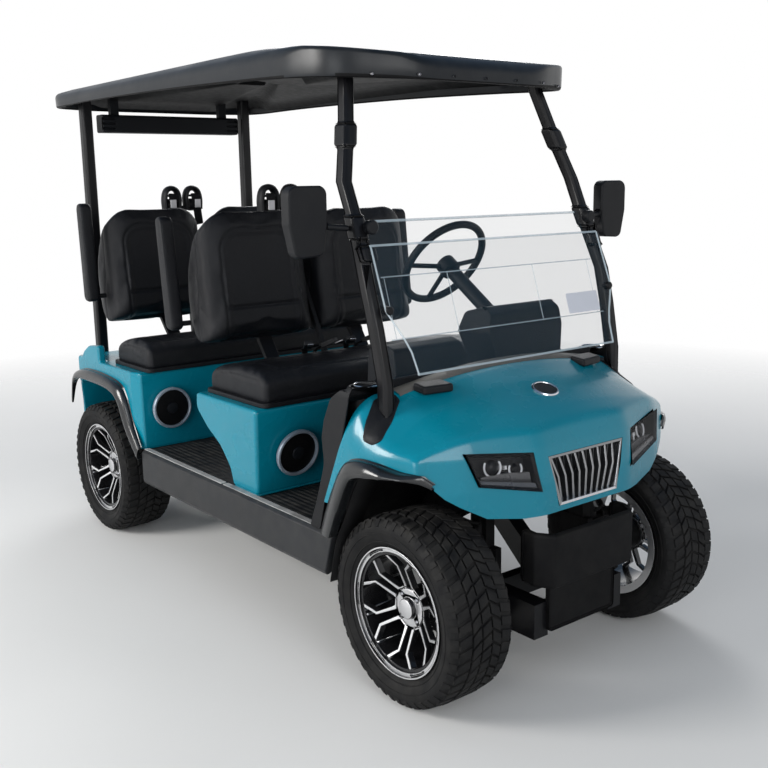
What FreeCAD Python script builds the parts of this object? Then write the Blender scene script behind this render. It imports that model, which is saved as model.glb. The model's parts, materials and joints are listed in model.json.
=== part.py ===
import FreeCAD, Part
import math
import os

# Golf cart with two forward-facing rows of seats.
# Millimetres, +Z up, forward is -Y, the driver's side is +X.
# Pieces are drawn with Y measured back from the front axle, and save() moves them to the
# part's frame, whose origin lies on the ground at the middle of the cart's length.

V = FreeCAD.Vector

# Driving sizes
WHEELBASE = 2048.0
TYRE_R = 288.0
# The tyre radius that the tables of the wheel openings are drawn for
TABLE_TYRE_R = 288.0
REAR_OVERHANG = 504.0
BODY_HALF_W = 600.0
FLOOR_Z = 455.0
POD_Z = 772.0
PANEL = 6.0
GAP = 0.3

# Sizes that follow from them
OVERALL_LENGTH = TYRE_R + WHEELBASE + REAR_OVERHANG
FRONT_AXLE_Y = TYRE_R - OVERALL_LENGTH / 2
REAR_END = WHEELBASE + REAR_OVERHANG
AXLE_Z = TYRE_R
FLOOR_HALF_W = BODY_HALF_W - 35
CUSHION_HALF_W = BODY_HALF_W - 40
FRONT_ROW_Y = 0.376 * WHEELBASE
REAR_ROW_Y = WHEELBASE - 408
BEYOND = 3 * BODY_HALF_W

# Wheels
TYRE_W = 226.0
TREAD_W = 194.0
SIDEWALL_R = TYRE_R - 38
RIM_W = 196.0
BEAD_R = TYRE_R - 110
LIP_R = BEAD_R + 18
LIP_THICK = 7.0
BARREL_WALL = 9.0
FACE_INSET = 85.0
LOOPS = 6
LOOP_BAR = 11.0
HUB_R = 62.0
HUB_THICK = 25.0
CAP_R = 31.0
LUG_COUNT = 4
LUG_CIRCLE_R = 47.0
LUG_HOLE_R = 8.0
SPINDLE_R = 16.0
SPINDLE_REACH = 24.0
SHAFT_CLEARANCE = 0.3
FRONT_HALF_TRACK = BODY_HALF_W - 124
REAR_HALF_TRACK = BODY_HALF_W - 104

# Steering and suspension
KINGPIN_X = FRONT_HALF_TRACK - 76
KINGPIN_R = 12.0
ARM_RISE = 95.0
ARM_THICK = 22.0
SPRING_X = REAR_HALF_TRACK - 196
SPRING_W = 50.0
LEAF_THICK = 14.0
SPRING_FRONT = 420.0
SPRING_BACK = 340.0
AXLE_TUBE_R = 32.0
DRUM_R = 84.0

# Chassis
RAIL_X = 140.0
RAIL_W = 60.0
RAIL_Z = 350.0
RAIL_TOP = FLOOR_Z - 15
RAIL_DROP = 190.0
AXLE_CLEARANCE = 140.0
FLOOR_Y0 = 360.0
FLOOR_Y1 = REAR_ROW_Y

# Front body
COWL_BACK = 165.0
TEAL_BOTTOM = AXLE_Z + 268
ARCH_IN_X = FRONT_HALF_TRACK - 214
DASH_HALF_W = BODY_HALF_W - 140

# Seats
BACK_Z0 = 930.0
BACK_Z1 = 1428.0
BACK_HALF_W = BODY_HALF_W - 100
BACK_INNER_X = 12.0
SPEAKER_R = 86.0

# Roof and posts
ROOF_HALF_W = BODY_HALF_W - 57
ROOF_Y0 = 222.0
ROOF_SKIN = 10.0
ROOF_RIM = 12.0
POST_X_SIZE = 36.0
POST_Y_SIZE = 44.0
REAR_POST_X = BODY_HALF_W - 188
REAR_POST_Y = WHEELBASE + 347
REAR_POST_SIZE = 48.0

# Tow plate
TOW_HOLE_R = 10.5
TOW_THICK = 10.0


def save(name, shape):
    """Moves a piece from the front axle's frame to the part's frame and writes it."""
    placed = shape.copy()
    placed.translate(V(0, FRONT_AXLE_Y, 0))
    placed.exportStep("parts/%s.step" % name)
    box = placed.BoundBox
    print("%-22s solids %2d valid %s  x %7.1f %7.1f  y %8.1f %8.1f  z %7.1f %7.1f" % (
        name, len(placed.Solids), placed.isValid(),
        box.XMin, box.XMax, box.YMin, box.YMax, box.ZMin, box.ZMax))


def block(x0, x1, y0, y1, z0, z1):
    return Part.makeBox(x1 - x0, y1 - y0, z1 - z0, V(x0, y0, z0))


def to_plane(points, plane):
    """Plan points are (x, y), side points are (y, z) and front points are (x, z)."""
    if plane == "plan":
        return [V(a, b, 0) for a, b in points]
    if plane == "side":
        return [V(0, a, b) for a, b in points]
    return [V(a, 0, b) for a, b in points]


def rounded_wire(points, radii):
    """A closed wire through the points with an arc of the given radius at each corner."""
    count = len(points)
    if not isinstance(radii, (list, tuple)):
        radii = [radii] * count
    arcs = {}
    ends = []
    for i in range(count):
        before, here, after = points[i - 1], points[i], points[(i + 1) % count]
        if radii[i] <= 0:
            ends.append((here, here))
            continue
        to_before = (before - here).normalize()
        to_after = (after - here).normalize()
        half = to_before.getAngle(to_after) / 2
        run = radii[i] / math.tan(half)
        start, stop = here + to_before * run, here + to_after * run
        inward = (to_before + to_after).normalize()
        middle = here + inward * (radii[i] / math.sin(half) - radii[i])
        ends.append((start, stop))
        arcs[i] = Part.Arc(start, middle, stop).toShape()
    edges = []
    for i in range(count):
        if i in arcs:
            edges.append(arcs[i])
        line_start, line_end = ends[i][1], ends[(i + 1) % count][0]
        if line_start.distanceToPoint(line_end) > 1e-6:
            edges.append(Part.makeLine(line_start, line_end))
    return Part.Wire(edges)


def prism(points, plane, low, high, radii=0):
    """Extrudes an outline drawn in a plane, from low to high along that plane's normal."""
    wire = rounded_wire(to_plane(points, plane), radii)
    way = {"plan": V(0, 0, 1), "side": V(1, 0, 0), "front": V(0, 1, 0)}[plane]
    face = Part.Face(wire)
    face.translate(way * low)
    return face.extrude(way * (high - low))


def mirrored(points):
    """Completes a half outline, given from one end of the centre line to the other."""
    return points + [(-a, b) for a, b in reversed(points) if abs(a) > 1e-9]


def flip(shape):
    return shape.mirror(V(0, 0, 0), V(1, 0, 0))


def both(shape):
    """The piece and its mirror image across the middle of the cart."""
    return Part.makeCompound([shape, flip(shape)])


def on_side(shape, side):
    return shape if side > 0 else flip(shape)


def rod(start, end, radius):
    way = end - start
    return Part.makeCylinder(radius, way.Length, start, way)


def fuse(shapes):
    first = shapes[0]
    return first.fuse(shapes[1:]).removeSplitter() if len(shapes) > 1 else first


def largest(shape):
    return max(shape.Solids, key=lambda solid: solid.Volume)


def turned(profile, x=0.0, y=0.0, z=0.0):
    """Revolves an outline of (x, radius) points about an axle along X."""
    wire = Part.makePolygon([V(a, 0, r) for a, r in profile + profile[:1]])
    solid = Part.Face(wire).revolve(V(0, 0, 0), V(1, 0, 0), 360)
    solid.translate(V(x, y, z))
    return solid


def lofted(sections):
    """A ruled solid through closed outlines that have the same number of corners."""
    wires = [Part.makePolygon(s + s[:1]) for s in sections]
    return Part.makeLoft(wires, True, True)


def along(path, half_x, half_y, bevel=8.0):
    """An upright bar with bevelled corners through the centres (x, y, z) of level sections."""
    sections = []
    for x, y, z in path:
        ring = [(half_x, half_y - bevel), (half_x - bevel, half_y), (bevel - half_x, half_y),
                (-half_x, half_y - bevel), (-half_x, bevel - half_y), (bevel - half_x, -half_y),
                (half_x - bevel, -half_y), (half_x, bevel - half_y)]
        sections.append([V(x + a, y + b, z) for a, b in ring])
    return lofted(sections)


def round_tyre(axle_y, points):
    """A line of (y, z) measured from an axle, moved outwards where the tyre isn't TABLE_TYRE_R."""
    moved = []
    for y, z in points:
        share = 1 + (TYRE_R - TABLE_TYRE_R) / math.hypot(y, z)
        moved.append((axle_y + share * y, AXLE_Z + share * z))
    return moved


def outset(points, by, centre):
    """Moves an outline's corners away from a centre."""
    moved = []
    for a, b in points:
        way = V(a - centre[0], b - centre[1], 0).normalize() * by
        moved.append((a + way.x, b + way.y))
    return moved


# Wheels

def make_tyre():
    """Tyre about the X axis, outboard towards +X."""
    seat = RIM_W / 2 - LIP_THICK - GAP
    half = [(seat, BEAD_R), (seat, LIP_R + GAP), (TYRE_W / 2, SIDEWALL_R), (TREAD_W / 2, TYRE_R)]
    return turned(half + [(-a, r) for a, r in reversed(half)])


def loop_outline(grow):
    """One spoke loop in the wheel's face plane, pointing along +Z, grown by a distance."""
    inner_half, middle_half, outer_half = 19.0, 50.0, 27.0
    inner_r, middle_r, outer_r = HUB_R + 1, 0.62 * LIP_R, LIP_R - 10
    end_grow = 0.6 * grow
    right = [(-inner_half - grow, inner_r - end_grow), (-middle_half - grow, middle_r),
             (-outer_half - grow, outer_r + end_grow)]
    return [V(0, a, b) for a, b in right + [(-a, b) for a, b in reversed(right)]]


def loop_ring():
    rims = []
    for grow in (LOOP_BAR / 2, -LOOP_BAR / 2):
        outline = loop_outline(grow)
        rims.append(Part.Face(Part.makePolygon(outline + outline[:1])))
    return rims[0].cut(rims[1]).extrude(V(RIM_W / 2, 0, 0))


def make_rim():
    """Alloy wheel about the X axis, outboard towards +X, with loop-shaped spokes."""
    lip = RIM_W / 2
    barrel_out = BEAD_R - GAP
    barrel_in = barrel_out - BARREL_WALL
    barrel = turned([
        (-lip, barrel_in), (-lip, LIP_R), (LIP_THICK - lip, LIP_R), (LIP_THICK - lip, barrel_out),
        (lip - LIP_THICK, barrel_out), (lip - LIP_THICK, LIP_R), (lip, LIP_R), (lip, LIP_R - LIP_THICK),
        (lip - 12, LIP_R - LIP_THICK), (lip - 12, barrel_in)])
    face = lip - FACE_INSET
    dish = turned([(face + 1, HUB_R - 12), (face + 23, HUB_R - 12), (lip - 5, LIP_R - 8),
                   (lip - 27, LIP_R - 8)])
    ring = loop_ring()
    loops = []
    for i in range(LOOPS):
        loop = ring.copy()
        loop.rotate(V(0, 0, 0), V(1, 0, 0), 360.0 * i / LOOPS + 90)
        loops.append(loop.common(dish))
    hub_front = face + HUB_THICK
    hub = turned([(face, 0), (face, HUB_R), (hub_front, HUB_R), (hub_front + 4, HUB_R - 6),
                  (hub_front + 4, CAP_R), (hub_front + 18, CAP_R), (hub_front + 20, CAP_R - 5),
                  (hub_front + 20, 0)])
    for i in range(LUG_COUNT):
        turn = 2 * math.pi * (i + 0.5) / LUG_COUNT
        centre = V(hub_front - 6, LUG_CIRCLE_R * math.cos(turn), LUG_CIRCLE_R * math.sin(turn))
        hub = hub.cut(Part.makeCylinder(LUG_HOLE_R, HUB_THICK, centre, V(1, 0, 0)))
    bore = Part.makeCylinder(SPINDLE_R + SHAFT_CLEARANCE, SPINDLE_REACH + 6, V(face, 0, 0), V(1, 0, 0))
    return fuse([barrel, hub] + loops).cut(bore)


def wheels():
    pieces = {"tyre": make_tyre(), "rim": make_rim()}
    rows = [("front", FRONT_HALF_TRACK, 0.0), ("rear", REAR_HALF_TRACK, WHEELBASE)]
    for row, half_track, y in rows:
        for name, side in (("left", 1), ("right", -1)):
            for kind, piece in pieces.items():
                placed = on_side(piece, side).copy()
                placed.translate(V(side * half_track, y, AXLE_Z))
                save("%s_%s_%s" % (kind, row, name), placed)


def hub_face(half_track):
    """Distance from the cart's middle to the wheel's mounting face."""
    return half_track + RIM_W / 2 - FACE_INSET


# Steering, front suspension and rear axle

def knuckles():
    face = hub_face(FRONT_HALF_TRACK)
    shoulder = face - 6
    reach = ARM_RISE + ARM_THICK / 2 + 5
    inside = ARM_RISE - ARM_THICK / 2 - GAP
    pin = rod(V(KINGPIN_X, 0, AXLE_Z - reach), V(KINGPIN_X, 0, AXLE_Z + reach), KINGPIN_R)
    upright = block(KINGPIN_X - 26, KINGPIN_X + 30, -30, 30, AXLE_Z - inside, AXLE_Z + inside)
    flange = rod(V(KINGPIN_X + 30, 0, AXLE_Z), V(shoulder, 0, AXLE_Z), HUB_R - 4)
    spindle = rod(V(shoulder, 0, AXLE_Z), V(face + SPINDLE_REACH, 0, AXLE_Z), SPINDLE_R)
    steering_arm = prism([(KINGPIN_X - 20, 20), (KINGPIN_X + 12, 20), (KINGPIN_X - 14, 128),
                          (KINGPIN_X - 40, 128)], "plan", AXLE_Z - 40, AXLE_Z - 26, [0, 0, 8, 8])
    knuckle = fuse([pin, upright, flange, spindle, steering_arm])
    for name, side in (("left", 1), ("right", -1)):
        save("knuckle_%s" % name, on_side(knuckle, side))


def front_suspension():
    """Upper and lower arms and spring struts, carried by masts on the rails."""
    rail_side = RAIL_X + RAIL_W
    strut_top = AXLE_Z + 212
    pieces = []
    for sign, root in ((-1, 75), (1, 45)):
        z = AXLE_Z + sign * ARM_RISE
        outline = [(rail_side + 12, -root), (KINGPIN_X + 14, -24), (KINGPIN_X + 14, 24), (rail_side + 12, root)]
        window = [(rail_side + 50, 34 - root), (KINGPIN_X - 60, -8), (KINGPIN_X - 60, 8),
                  (rail_side + 50, root - 34)]
        arm = prism(outline, "plan", z - ARM_THICK / 2, z + ARM_THICK / 2, [0, 14, 14, 0])
        arm = arm.cut(prism(window, "plan", z - ARM_THICK, z + ARM_THICK))
        pin_hole = Part.makeCylinder(KINGPIN_R + SHAFT_CLEARANCE, 2 * ARM_THICK, V(KINGPIN_X, 0, z - ARM_THICK))
        pieces.append(arm.cut(pin_hole))
    low, high = AXLE_Z - ARM_RISE, AXLE_Z + ARM_RISE
    tower = block(rail_side + GAP, rail_side + 24, -60, 60, low - 30, high + 30)
    mast = block(rail_side + 4, rail_side + 40, -34, 34, high, strut_top + 25)
    foot_x, head_x = KINGPIN_X - 62, rail_side + 26
    strut = rod(V(foot_x, 0, low + ARM_THICK / 2 - 4), V(head_x, 0, strut_top), 17)
    coil = rod(V(foot_x - 14, 0, low + 70), V(head_x + 24, 0, strut_top - 45), 27)
    save("front_suspension", both(fuse(pieces + [tower, mast, strut, coil])))


def rear_axle():
    """Axle tube with its drums and spindles, the differential's case and the motor."""
    face = hub_face(REAR_HALF_TRACK)
    shoulder = face - 6
    drum_in = shoulder - 36
    at = V(0, WHEELBASE, AXLE_Z)
    pieces = [rod(at - V(drum_in + 2, 0, 0), at + V(drum_in + 2, 0, 0), AXLE_TUBE_R)]
    for side in (-1, 1):
        pieces.append(rod(at + V(side * drum_in, 0, 0), at + V(side * shoulder, 0, 0), DRUM_R))
        spindle_end = at + V(side * (face + SPINDLE_REACH), 0, 0)
        pieces.append(rod(at + V(side * shoulder, 0, 0), spindle_end, SPINDLE_R))
    case_r, case_x = 98.0, -95.0
    case = turned([(40, 0), (40, 60), (80, case_r), (150, case_r), (190, 60), (190, 0)],
                  case_x, WHEELBASE, AXLE_Z)
    motor_at = at + V(0, -40, 30)
    motor = rod(motor_at + V(85, 0, 0), motor_at - V(134, 0, 0), case_r - 6)
    save("rear_axle", fuse(pieces + [case, motor]))


def rear_springs():
    """Leaf springs from the rail's outriggers over the axle tube, with their seats."""
    x0, x1 = SPRING_X, SPRING_X + SPRING_W
    eye_z = RAIL_Z - 34
    seat_z = AXLE_Z + AXLE_TUBE_R
    flat = 120.0
    front, back = WHEELBASE - SPRING_FRONT, WHEELBASE + SPRING_BACK
    lower = [(front, eye_z), (WHEELBASE - flat, seat_z + 6), (WHEELBASE + flat, seat_z + 6), (back, eye_z)]
    upper = [(back, eye_z + LEAF_THICK), (WHEELBASE + flat, seat_z + 6 + LEAF_THICK),
             (WHEELBASE - flat, seat_z + 6 + LEAF_THICK), (front, eye_z + LEAF_THICK)]
    leaf = prism(lower + upper, "side", x0, x1)
    pad = block(x0 - 8, x1 + 8, WHEELBASE - 60, WHEELBASE + 60, seat_z + GAP, seat_z + 8)
    hangers = [block(x0 + 4, x1 - 4, y, y + 32, RAIL_Z - 40, RAIL_Z + 20) for y in (front - 4, back - 28)]
    save("rear_springs", both(fuse([leaf, pad] + hangers)))


# Chassis

def chassis_frame():
    """Two box rails that drop under the nose, with cross members and outriggers."""
    rail_side = RAIL_X + RAIL_W
    rail_end = REAR_END - 60
    low_z0, low_z1 = RAIL_Z - RAIL_DROP, RAIL_TOP - RAIL_DROP + 20
    outline = [(-200, low_z0), (150, low_z0), (FLOOR_Y0, RAIL_Z), (rail_end, RAIL_Z), (rail_end, RAIL_TOP),
               (FLOOR_Y0, RAIL_TOP), (150, low_z1), (-200, low_z1)]
    pieces = [prism(outline, "side", RAIL_X, rail_side), prism(outline, "side", -rail_side, -RAIL_X)]
    for y in (-190.0, 40.0):
        pieces.append(block(-RAIL_X - 1, RAIL_X + 1, y, y + 40, low_z0 + 10, low_z1 - 20))
    bays = 8
    bar = 40.0
    for i in range(bays + 1):
        y = FLOOR_Y0 + bar / 2 + (rail_end - FLOOR_Y0 - 2 * bar) * i / bays
        if abs(y + bar / 2 - WHEELBASE) > AXLE_CLEARANCE:
            pieces.append(block(-RAIL_X - 1, RAIL_X + 1, y, y + bar, RAIL_Z + 10, RAIL_TOP - 10))
    for y in (FLOOR_Y0 + bar / 2, FRONT_ROW_Y + 290, FLOOR_Y1 - 50):
        pieces.append(block(5 - FLOOR_HALF_W, FLOOR_HALF_W - 5, y, y + bar, RAIL_TOP - 45, RAIL_TOP))
    outrigger = SPRING_X + SPRING_W + 20
    for y in (WHEELBASE - SPRING_FRONT, WHEELBASE + SPRING_BACK - 25):
        pieces.append(block(-outrigger, outrigger, y, y + 26, RAIL_Z + 20 + GAP, RAIL_TOP))
    save("chassis_frame", fuse(pieces))


TOE_THICK = 12.0
TOE_LINE = [(FLOOR_Y0, FLOOR_Z), (330.0, 600.0), (225.0, 700.0), (COWL_BACK + 20, 757.0)]


def floor_pan():
    """Flat floor with the toe board bent up to the dash."""
    low = RAIL_TOP + GAP
    half = BODY_HALF_W - 100 - GAP
    pan = block(-FLOOR_HALF_W, FLOOR_HALF_W, FLOOR_Y0, FLOOR_Y1, low, FLOOR_Z)
    toe = prism([(FLOOR_Y0, low)] + [(y - TOE_THICK, z) for y, z in TOE_LINE[1:]] + TOE_LINE[:0:-1] +
                [(FLOOR_Y0 + TOE_THICK, FLOOR_Z)], "side", -half, half)
    save("floor_pan", fuse([pan, toe]))


ROCKER_X = BODY_HALF_W + 5
ROCKER_Z = (312.0, FLOOR_Z + 4)
ROCKER_Y = (TYRE_R + 20, REAR_ROW_Y - 40)


def rockers():
    """Hollow sill panels whose front ends follow the wheel opening."""
    inner = FLOOR_HALF_W + 2
    z0, z1 = ROCKER_Z
    y0, y1 = ROCKER_Y
    outline = [(inner, z0 + 18), (ROCKER_X - 13, z0), (ROCKER_X, z0 + 18), (ROCKER_X, z1 - 9),
               (ROCKER_X - 13, z1), (inner, z1)]
    wall = 6.0
    hollow = [(inner + wall, z0 + 26), (ROCKER_X - 15, z0 + 14), (ROCKER_X - wall, z0 + 22),
              (ROCKER_X - wall, z1 - 13), (inner + wall, z1 - 13)]
    slant = 46.0
    skin = prism(outline, "front", y0 - slant, y1, [0, 8, 8, 8, 6, 0])
    skin = skin.cut(prism(hollow, "front", y0 + wall, y1 - wall))
    opening = [(y0 - 2 * slant, z0 - 1), (y0, z0 - 1), (y0 - slant, z1 + 1), (y0 - 2 * slant, z1 + 1)]
    save("rockers", both(skin.cut(prism(opening, "side", inner - 1, ROCKER_X + 1))))


# Front body

W = BODY_HALF_W
COWL_SECTIONS = [
    # y, crown z, crease x and z, shoulder x and z, flank x and z
    (-265.0, 776.0, W - 172, 748.0, W - 60, 700.0, W - 30, 640.0),
    (-120.0, 846.0, W - 168, 799.0, W - 42, 742.0, W - 4, 690.0),
    (20.0, 903.0, W - 154, 846.0, W - 12, 768.0, W, 725.0),
    (100.0, 930.0, W - 148, 886.0, W - 16, 802.0, W, 765.0),
    (COWL_BACK, 948.0, W - 144, 908.0, W - 62, 904.0, W, 800.0),
    (COWL_BACK + 195, 960.0, W - 144, 915.0, W - 62, 908.0, W, 800.0),
]
NOSE_PLAN = [(W - 408, -226.0), (W - 168, -152.0), (W - 48, -86.0), (W + 2, 60.0), (W + 2, 400.0)]
NOSE_LEAN = [(300.0, 0.0), (650.0, 0.0), (750.0, 14.0), (800.0, 34.0), (1000.0, 180.0)]
# Where the wheel opening cuts the front body and the rear body, as (y, z)
FRONT_ARCH = round_tyre(0.0, [
    (-106.0, 12.0), (-106.0, 385.0), (-90.0, 402.0), (-37.0, 406.0), (39.0, 400.0), (110.0, 386.0),
    (144.0, 357.0), (208.0, 237.0), (255.0, 145.0), (290.0, 12.0)])
REAR_ARCH = round_tyre(WHEELBASE, [
    (-432.0, 12.0), (-432.0, 131.0), (-345.0, 242.0), (-290.0, 352.0), (-215.0, 384.0), (-60.0, 394.0),
    (130.0, 388.0), (205.0, 352.0), (262.0, 252.0), (270.0, 12.0)])
# The slanted edge where the front body's flank meets the leg shield, as (y, z)
SHIELD_LINE = [(COWL_BACK, 930.0), (COWL_BACK + 5, 890.0), (206.0, 770.0), (302.0, 562.0), (330.0, 470.0),
               (336.0, FLOOR_Z + 4.5)]
# The nose's lower edge, as (x, z)
NOSE_EDGE = [(W - 420, AXLE_Z + 258), (W - 231, AXLE_Z + 284), (W - 153, AXLE_Z + 327), (W - 115, AXLE_Z + 353),
             (W - 85, AXLE_Z + 385), (W + 20, AXLE_Z + 440)]


def cowl_hull(inset=0.0):
    """The front body's outer form, or that form moved inwards by a distance."""
    sections = []
    for y, crown, cx, cz, sx, sz, fx, fz in COWL_SECTIONS:
        half = [(0, crown - inset), (0.55 * cx, crown - 0.28 * (crown - cz) - inset), (cx - inset, cz - inset),
                (sx - inset, sz - 0.6 * inset), (fx - inset, fz), (fx - inset, 300), (0, 300)]
        sections.append([V(a, y, b) for a, b in mirrored(half)])
    rings = []
    for z, lean in NOSE_LEAN:
        half = [(x - 0.5 * inset, y + inset + lean) for x, y in NOSE_PLAN]
        rings.append([V(a, b, z) for a, b in half + [(-a, b) for a, b in reversed(half)]])
    return lofted(sections).common(lofted(rings))


def behind_shield_line():
    line = SHIELD_LINE[:-1]
    return prism([(COWL_BACK, 1100)] + line + [(line[-1][0], 300), (700, 300), (700, 1100)],
                 "side", -BEYOND, BEYOND)


def front_cowl():
    """Painted front body: a thin shell with wheel housings, lamp and grille openings."""
    arch = prism(FRONT_ARCH, "side", ARCH_IN_X, BEYOND)
    housing = prism(outset(FRONT_ARCH, 1.3 * PANEL, (0, AXLE_Z)), "side", ARCH_IN_X - PANEL, BEYOND)
    below = block(-BEYOND, BEYOND, -500, 700, 200, TEAL_BOTTOM)
    edge = NOSE_EDGE + [(W + 20, 300), (NOSE_EDGE[0][0], 300)]
    under_nose = prism(edge, "front", -500, FRONT_ARCH[1][0] + 1)
    middle = block(-DASH_HALF_W - GAP, DASH_HALF_W + GAP, COWL_BACK, 700, 200, 1100)
    shell = cowl_hull().cut(cowl_hull(PANEL).cut(both(housing)))
    for cutter in (both(arch), below, both(under_nose), behind_shield_line(), middle, lamp_sockets(),
                   grille_block(0, -60, 60)):
        shell = shell.cut(cutter)
    save("front_cowl", largest(shell))


# The right lamp's corners, from the top inner one outwards and round, as (x, y, z)
LAMP = [(218.0, -201.0, 745.0), (430.0, -144.0, 766.0), (395.0, -173.0, 670.0), (203.0, -228.0, 631.0)]
LAMP_DEPTH = 44.0


def lamp_prism(depth0, depth1, grow):
    """A block through the headlamp's outline, square to the nose's side facet."""
    corners = [V(*p) for p in LAMP]
    normal = (corners[1] - corners[3]).cross(corners[0] - corners[2]).normalize()
    if normal.y > 0:
        normal = normal * -1
    centre = (corners[0] + corners[1] + corners[2] + corners[3]) * 0.25
    flat = []
    for p in corners:
        q = p - normal * ((p - centre).dot(normal))
        flat.append(q + (q - centre).normalize() * grow)
    face = Part.Face(Part.makePolygon(flat + flat[:1]))
    face.translate(normal * depth0)
    return face.extrude(normal * (depth1 - depth0))


def lamp_sockets():
    return both(lamp_prism(-1.4 * LAMP_DEPTH, 1.4 * LAMP_DEPTH, 0.0))


def headlamps():
    save("headlamps", both(lamp_prism(-LAMP_DEPTH, 3, -1.5 * GAP)))


GRILLE_TOP = V(167, -210, 726)
GRILLE_FOOT = V(129, -225, 573)
SLATS = 9


def grille_block(grow, depth0, depth1):
    """A block through the grille's outline, leaning with the nose; depth is into the cart."""
    up = V(0, GRILLE_TOP.y - GRILLE_FOOT.y, GRILLE_TOP.z - GRILLE_FOOT.z)
    height = up.Length
    outline = [(GRILLE_TOP.x + grow, height + grow), (GRILLE_FOOT.x + grow, -grow)]
    outline = outline + [(-a, b) for a, b in reversed(outline)]
    solid = prism(outline, "front", depth0, depth1)
    solid.rotate(V(0, 0, 0), V(1, 0, 0), -math.degrees(math.atan2(up.y, up.z)))
    solid.translate(V(0, GRILLE_FOOT.y, GRILLE_FOOT.z))
    return solid


def grille():
    """Bright surround with upright slats, each bent forward at its kink, before a backing."""
    border = 9.0
    back = 30.0
    frame = grille_block(-GAP, -5, back).cut(grille_block(-border, -60, 60))
    backing = grille_block(-GAP, back - 6, back)
    stations = [
        # height share, distance in front of the backing
        (0.02, 14.0),
        (0.55, 25.0),
        (0.98, 10.0),
    ]
    half = 4.0
    slats = []
    for i in range(SLATS):
        place = 2.0 * i / (SLATS - 1) - 1
        rings = []
        for share, ahead in stations:
            mid = GRILLE_FOOT + (GRILLE_TOP - GRILLE_FOOT) * share
            x = place * (mid.x - 26)
            y = mid.y + back - 6
            rings.append([V(x - half, y + 2, mid.z), V(x + half, y + 2, mid.z), V(x + half, y - ahead, mid.z),
                          V(x - half, y - ahead, mid.z)])
        slats.append(lofted(rings).common(grille_block(-border + 1, -60, 60)))
    save("grille", fuse([frame, backing] + slats))


def front_valance():
    """Hollow black bumper between the front wheels, with its bracket to the rails."""
    z0, z1 = 330.0, 500.0
    wall = 10.0
    outline = [(205, -150), (212, -205), (178, -258), (-178, -258), (-212, -205), (-205, -150)]
    inside = [(a - math.copysign(wall, a), b + wall) for a, b in outline]
    bumper = prism(outline, "plan", z0, z1, [0, 16, 16, 16, 16, 0])
    bumper = bumper.cut(prism(inside, "plan", z0 + wall, z1 + 1))
    stem = block(-150, 150, -200 - wall - GAP, -200 - GAP, RAIL_Z - RAIL_DROP + 15, z0 + 15)
    shelf = block(-120, 120, -250, -205, z0, z0 + 15)
    save("front_valance", fuse([bumper, stem, shelf]))


CUP_CENTRE = V(BODY_HALF_W - 88, 216, 0)
CUP_R = 34.0
CUP_FLOOR_Z = 830.0


def shield_section(lower_x, out_x, inset):
    """Everything within the leg shield's outline as seen from the front."""
    x0, x1 = lower_x + inset, out_x - inset
    head_x = DASH_HALF_W + inset
    step_z = POD_Z + 3 + inset
    outline = [(x0, FLOOR_Z - 1), (x1, FLOOR_Z - 1), (x1, 950 - inset), (head_x, 950 - inset), (head_x, step_z),
               (x0, step_z)]
    return prism(outline, "front", 0, 1000, [0, 0, 55 - inset, 0, 0, 0])


def leg_shields():
    """Black inner shields beside the front footwell, with a cup holder in each one's top."""
    foot_z = FLOOR_Z + 4.5
    back = [(388, foot_z), (345, 559), (303, 676), (312, 759), (298, 814), (262, 885), (215, 918)]
    edge = [(y + GAP, z) for y, z in SHIELD_LINE]
    radii = [0] * len(edge) + [0, 30, 60, 20, 25, 50, 30]
    lower_x, out_x = BODY_HALF_W - 100, BODY_HALF_W - 2
    shield = prism(edge + back, "side", DASH_HALF_W + GAP, out_x, radii)
    shield = shield.common(shield_section(lower_x, out_x, 0.0))
    inner_edge = [(y - PANEL, z) for y, z in SHIELD_LINE]
    inner_back = [(y - PANEL, z - 0.7 * PANEL) for y, z in back]
    hollow = prism(inner_edge + inner_back, "side", DASH_HALF_W + PANEL, out_x - PANEL, radii)
    hollow = hollow.common(shield_section(lower_x, out_x, PANEL))
    sleeve = Part.makeCylinder(CUP_R + PANEL, 200, CUP_CENTRE + V(0, 0, CUP_FLOOR_Z - PANEL))
    rim = Part.makeCylinder(CUP_R + PANEL, 34, CUP_CENTRE + V(0, 0, 886))
    cup = Part.makeCylinder(CUP_R, 200, CUP_CENTRE + V(0, 0, CUP_FLOOR_Z))
    shield = shield.fuse(rim.cut(cowl_hull())).removeSplitter().cut(hollow.cut(sleeve)).cut(cup)
    save("leg_shields", both(largest(shield)))


STEER_CENTRE = V(240, FRONT_ROW_Y - 80, 1215)
COLUMN_FOOT = V(STEER_CENTRE.x, 375, 1002.5)
STEER_WAY = (COLUMN_FOOT - STEER_CENTRE).normalize()
BOSS_DEPTH = 50.0
COLUMN_R = 26.0


def dash_body():
    """Dash beam with a parcel pod on the passenger's side and the driver's instrument pod."""
    back = COWL_BACK + GAP
    beam = prism([(back, 765), (back, 938), (360, 893), (388, 858), (372, 790), (300, 765)],
                 "side", -DASH_HALF_W, DASH_HALF_W, [0, 6, 14, 14, 20, 10])
    parcel = prism([(250, 900), (262, 1000), (300, 1014), (392, 996), (402, 880)],
                   "side", -352, -45, [0, 20, 24, 20, 0])
    parcel = parcel.common(prism([(-352, 860), (-352, 1100), (-110, 1100), (-45, 950), (-45, 860)],
                                 "front", 0, 500, [0, 0, 60, 30, 0]))
    driver = prism([(255, 880), (285, 1070), (320, 1094), (415, 1070), (440, 1000), (392, 860)],
                   "side", 75, 435, [0, 30, 20, 24, 30, 0])
    driver = driver.common(prism([(110, 850), (75, 1010), (95, 1100), (425, 1100), (435, 1010), (400, 850)],
                                 "front", 0, 500, [0, 40, 26, 26, 40, 0]))
    return fuse([beam, parcel, driver])


def dash():
    save("dash", dash_body().cut(steering_column_bar(GAP)))


# Front posts, windshield and mirrors

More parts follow.
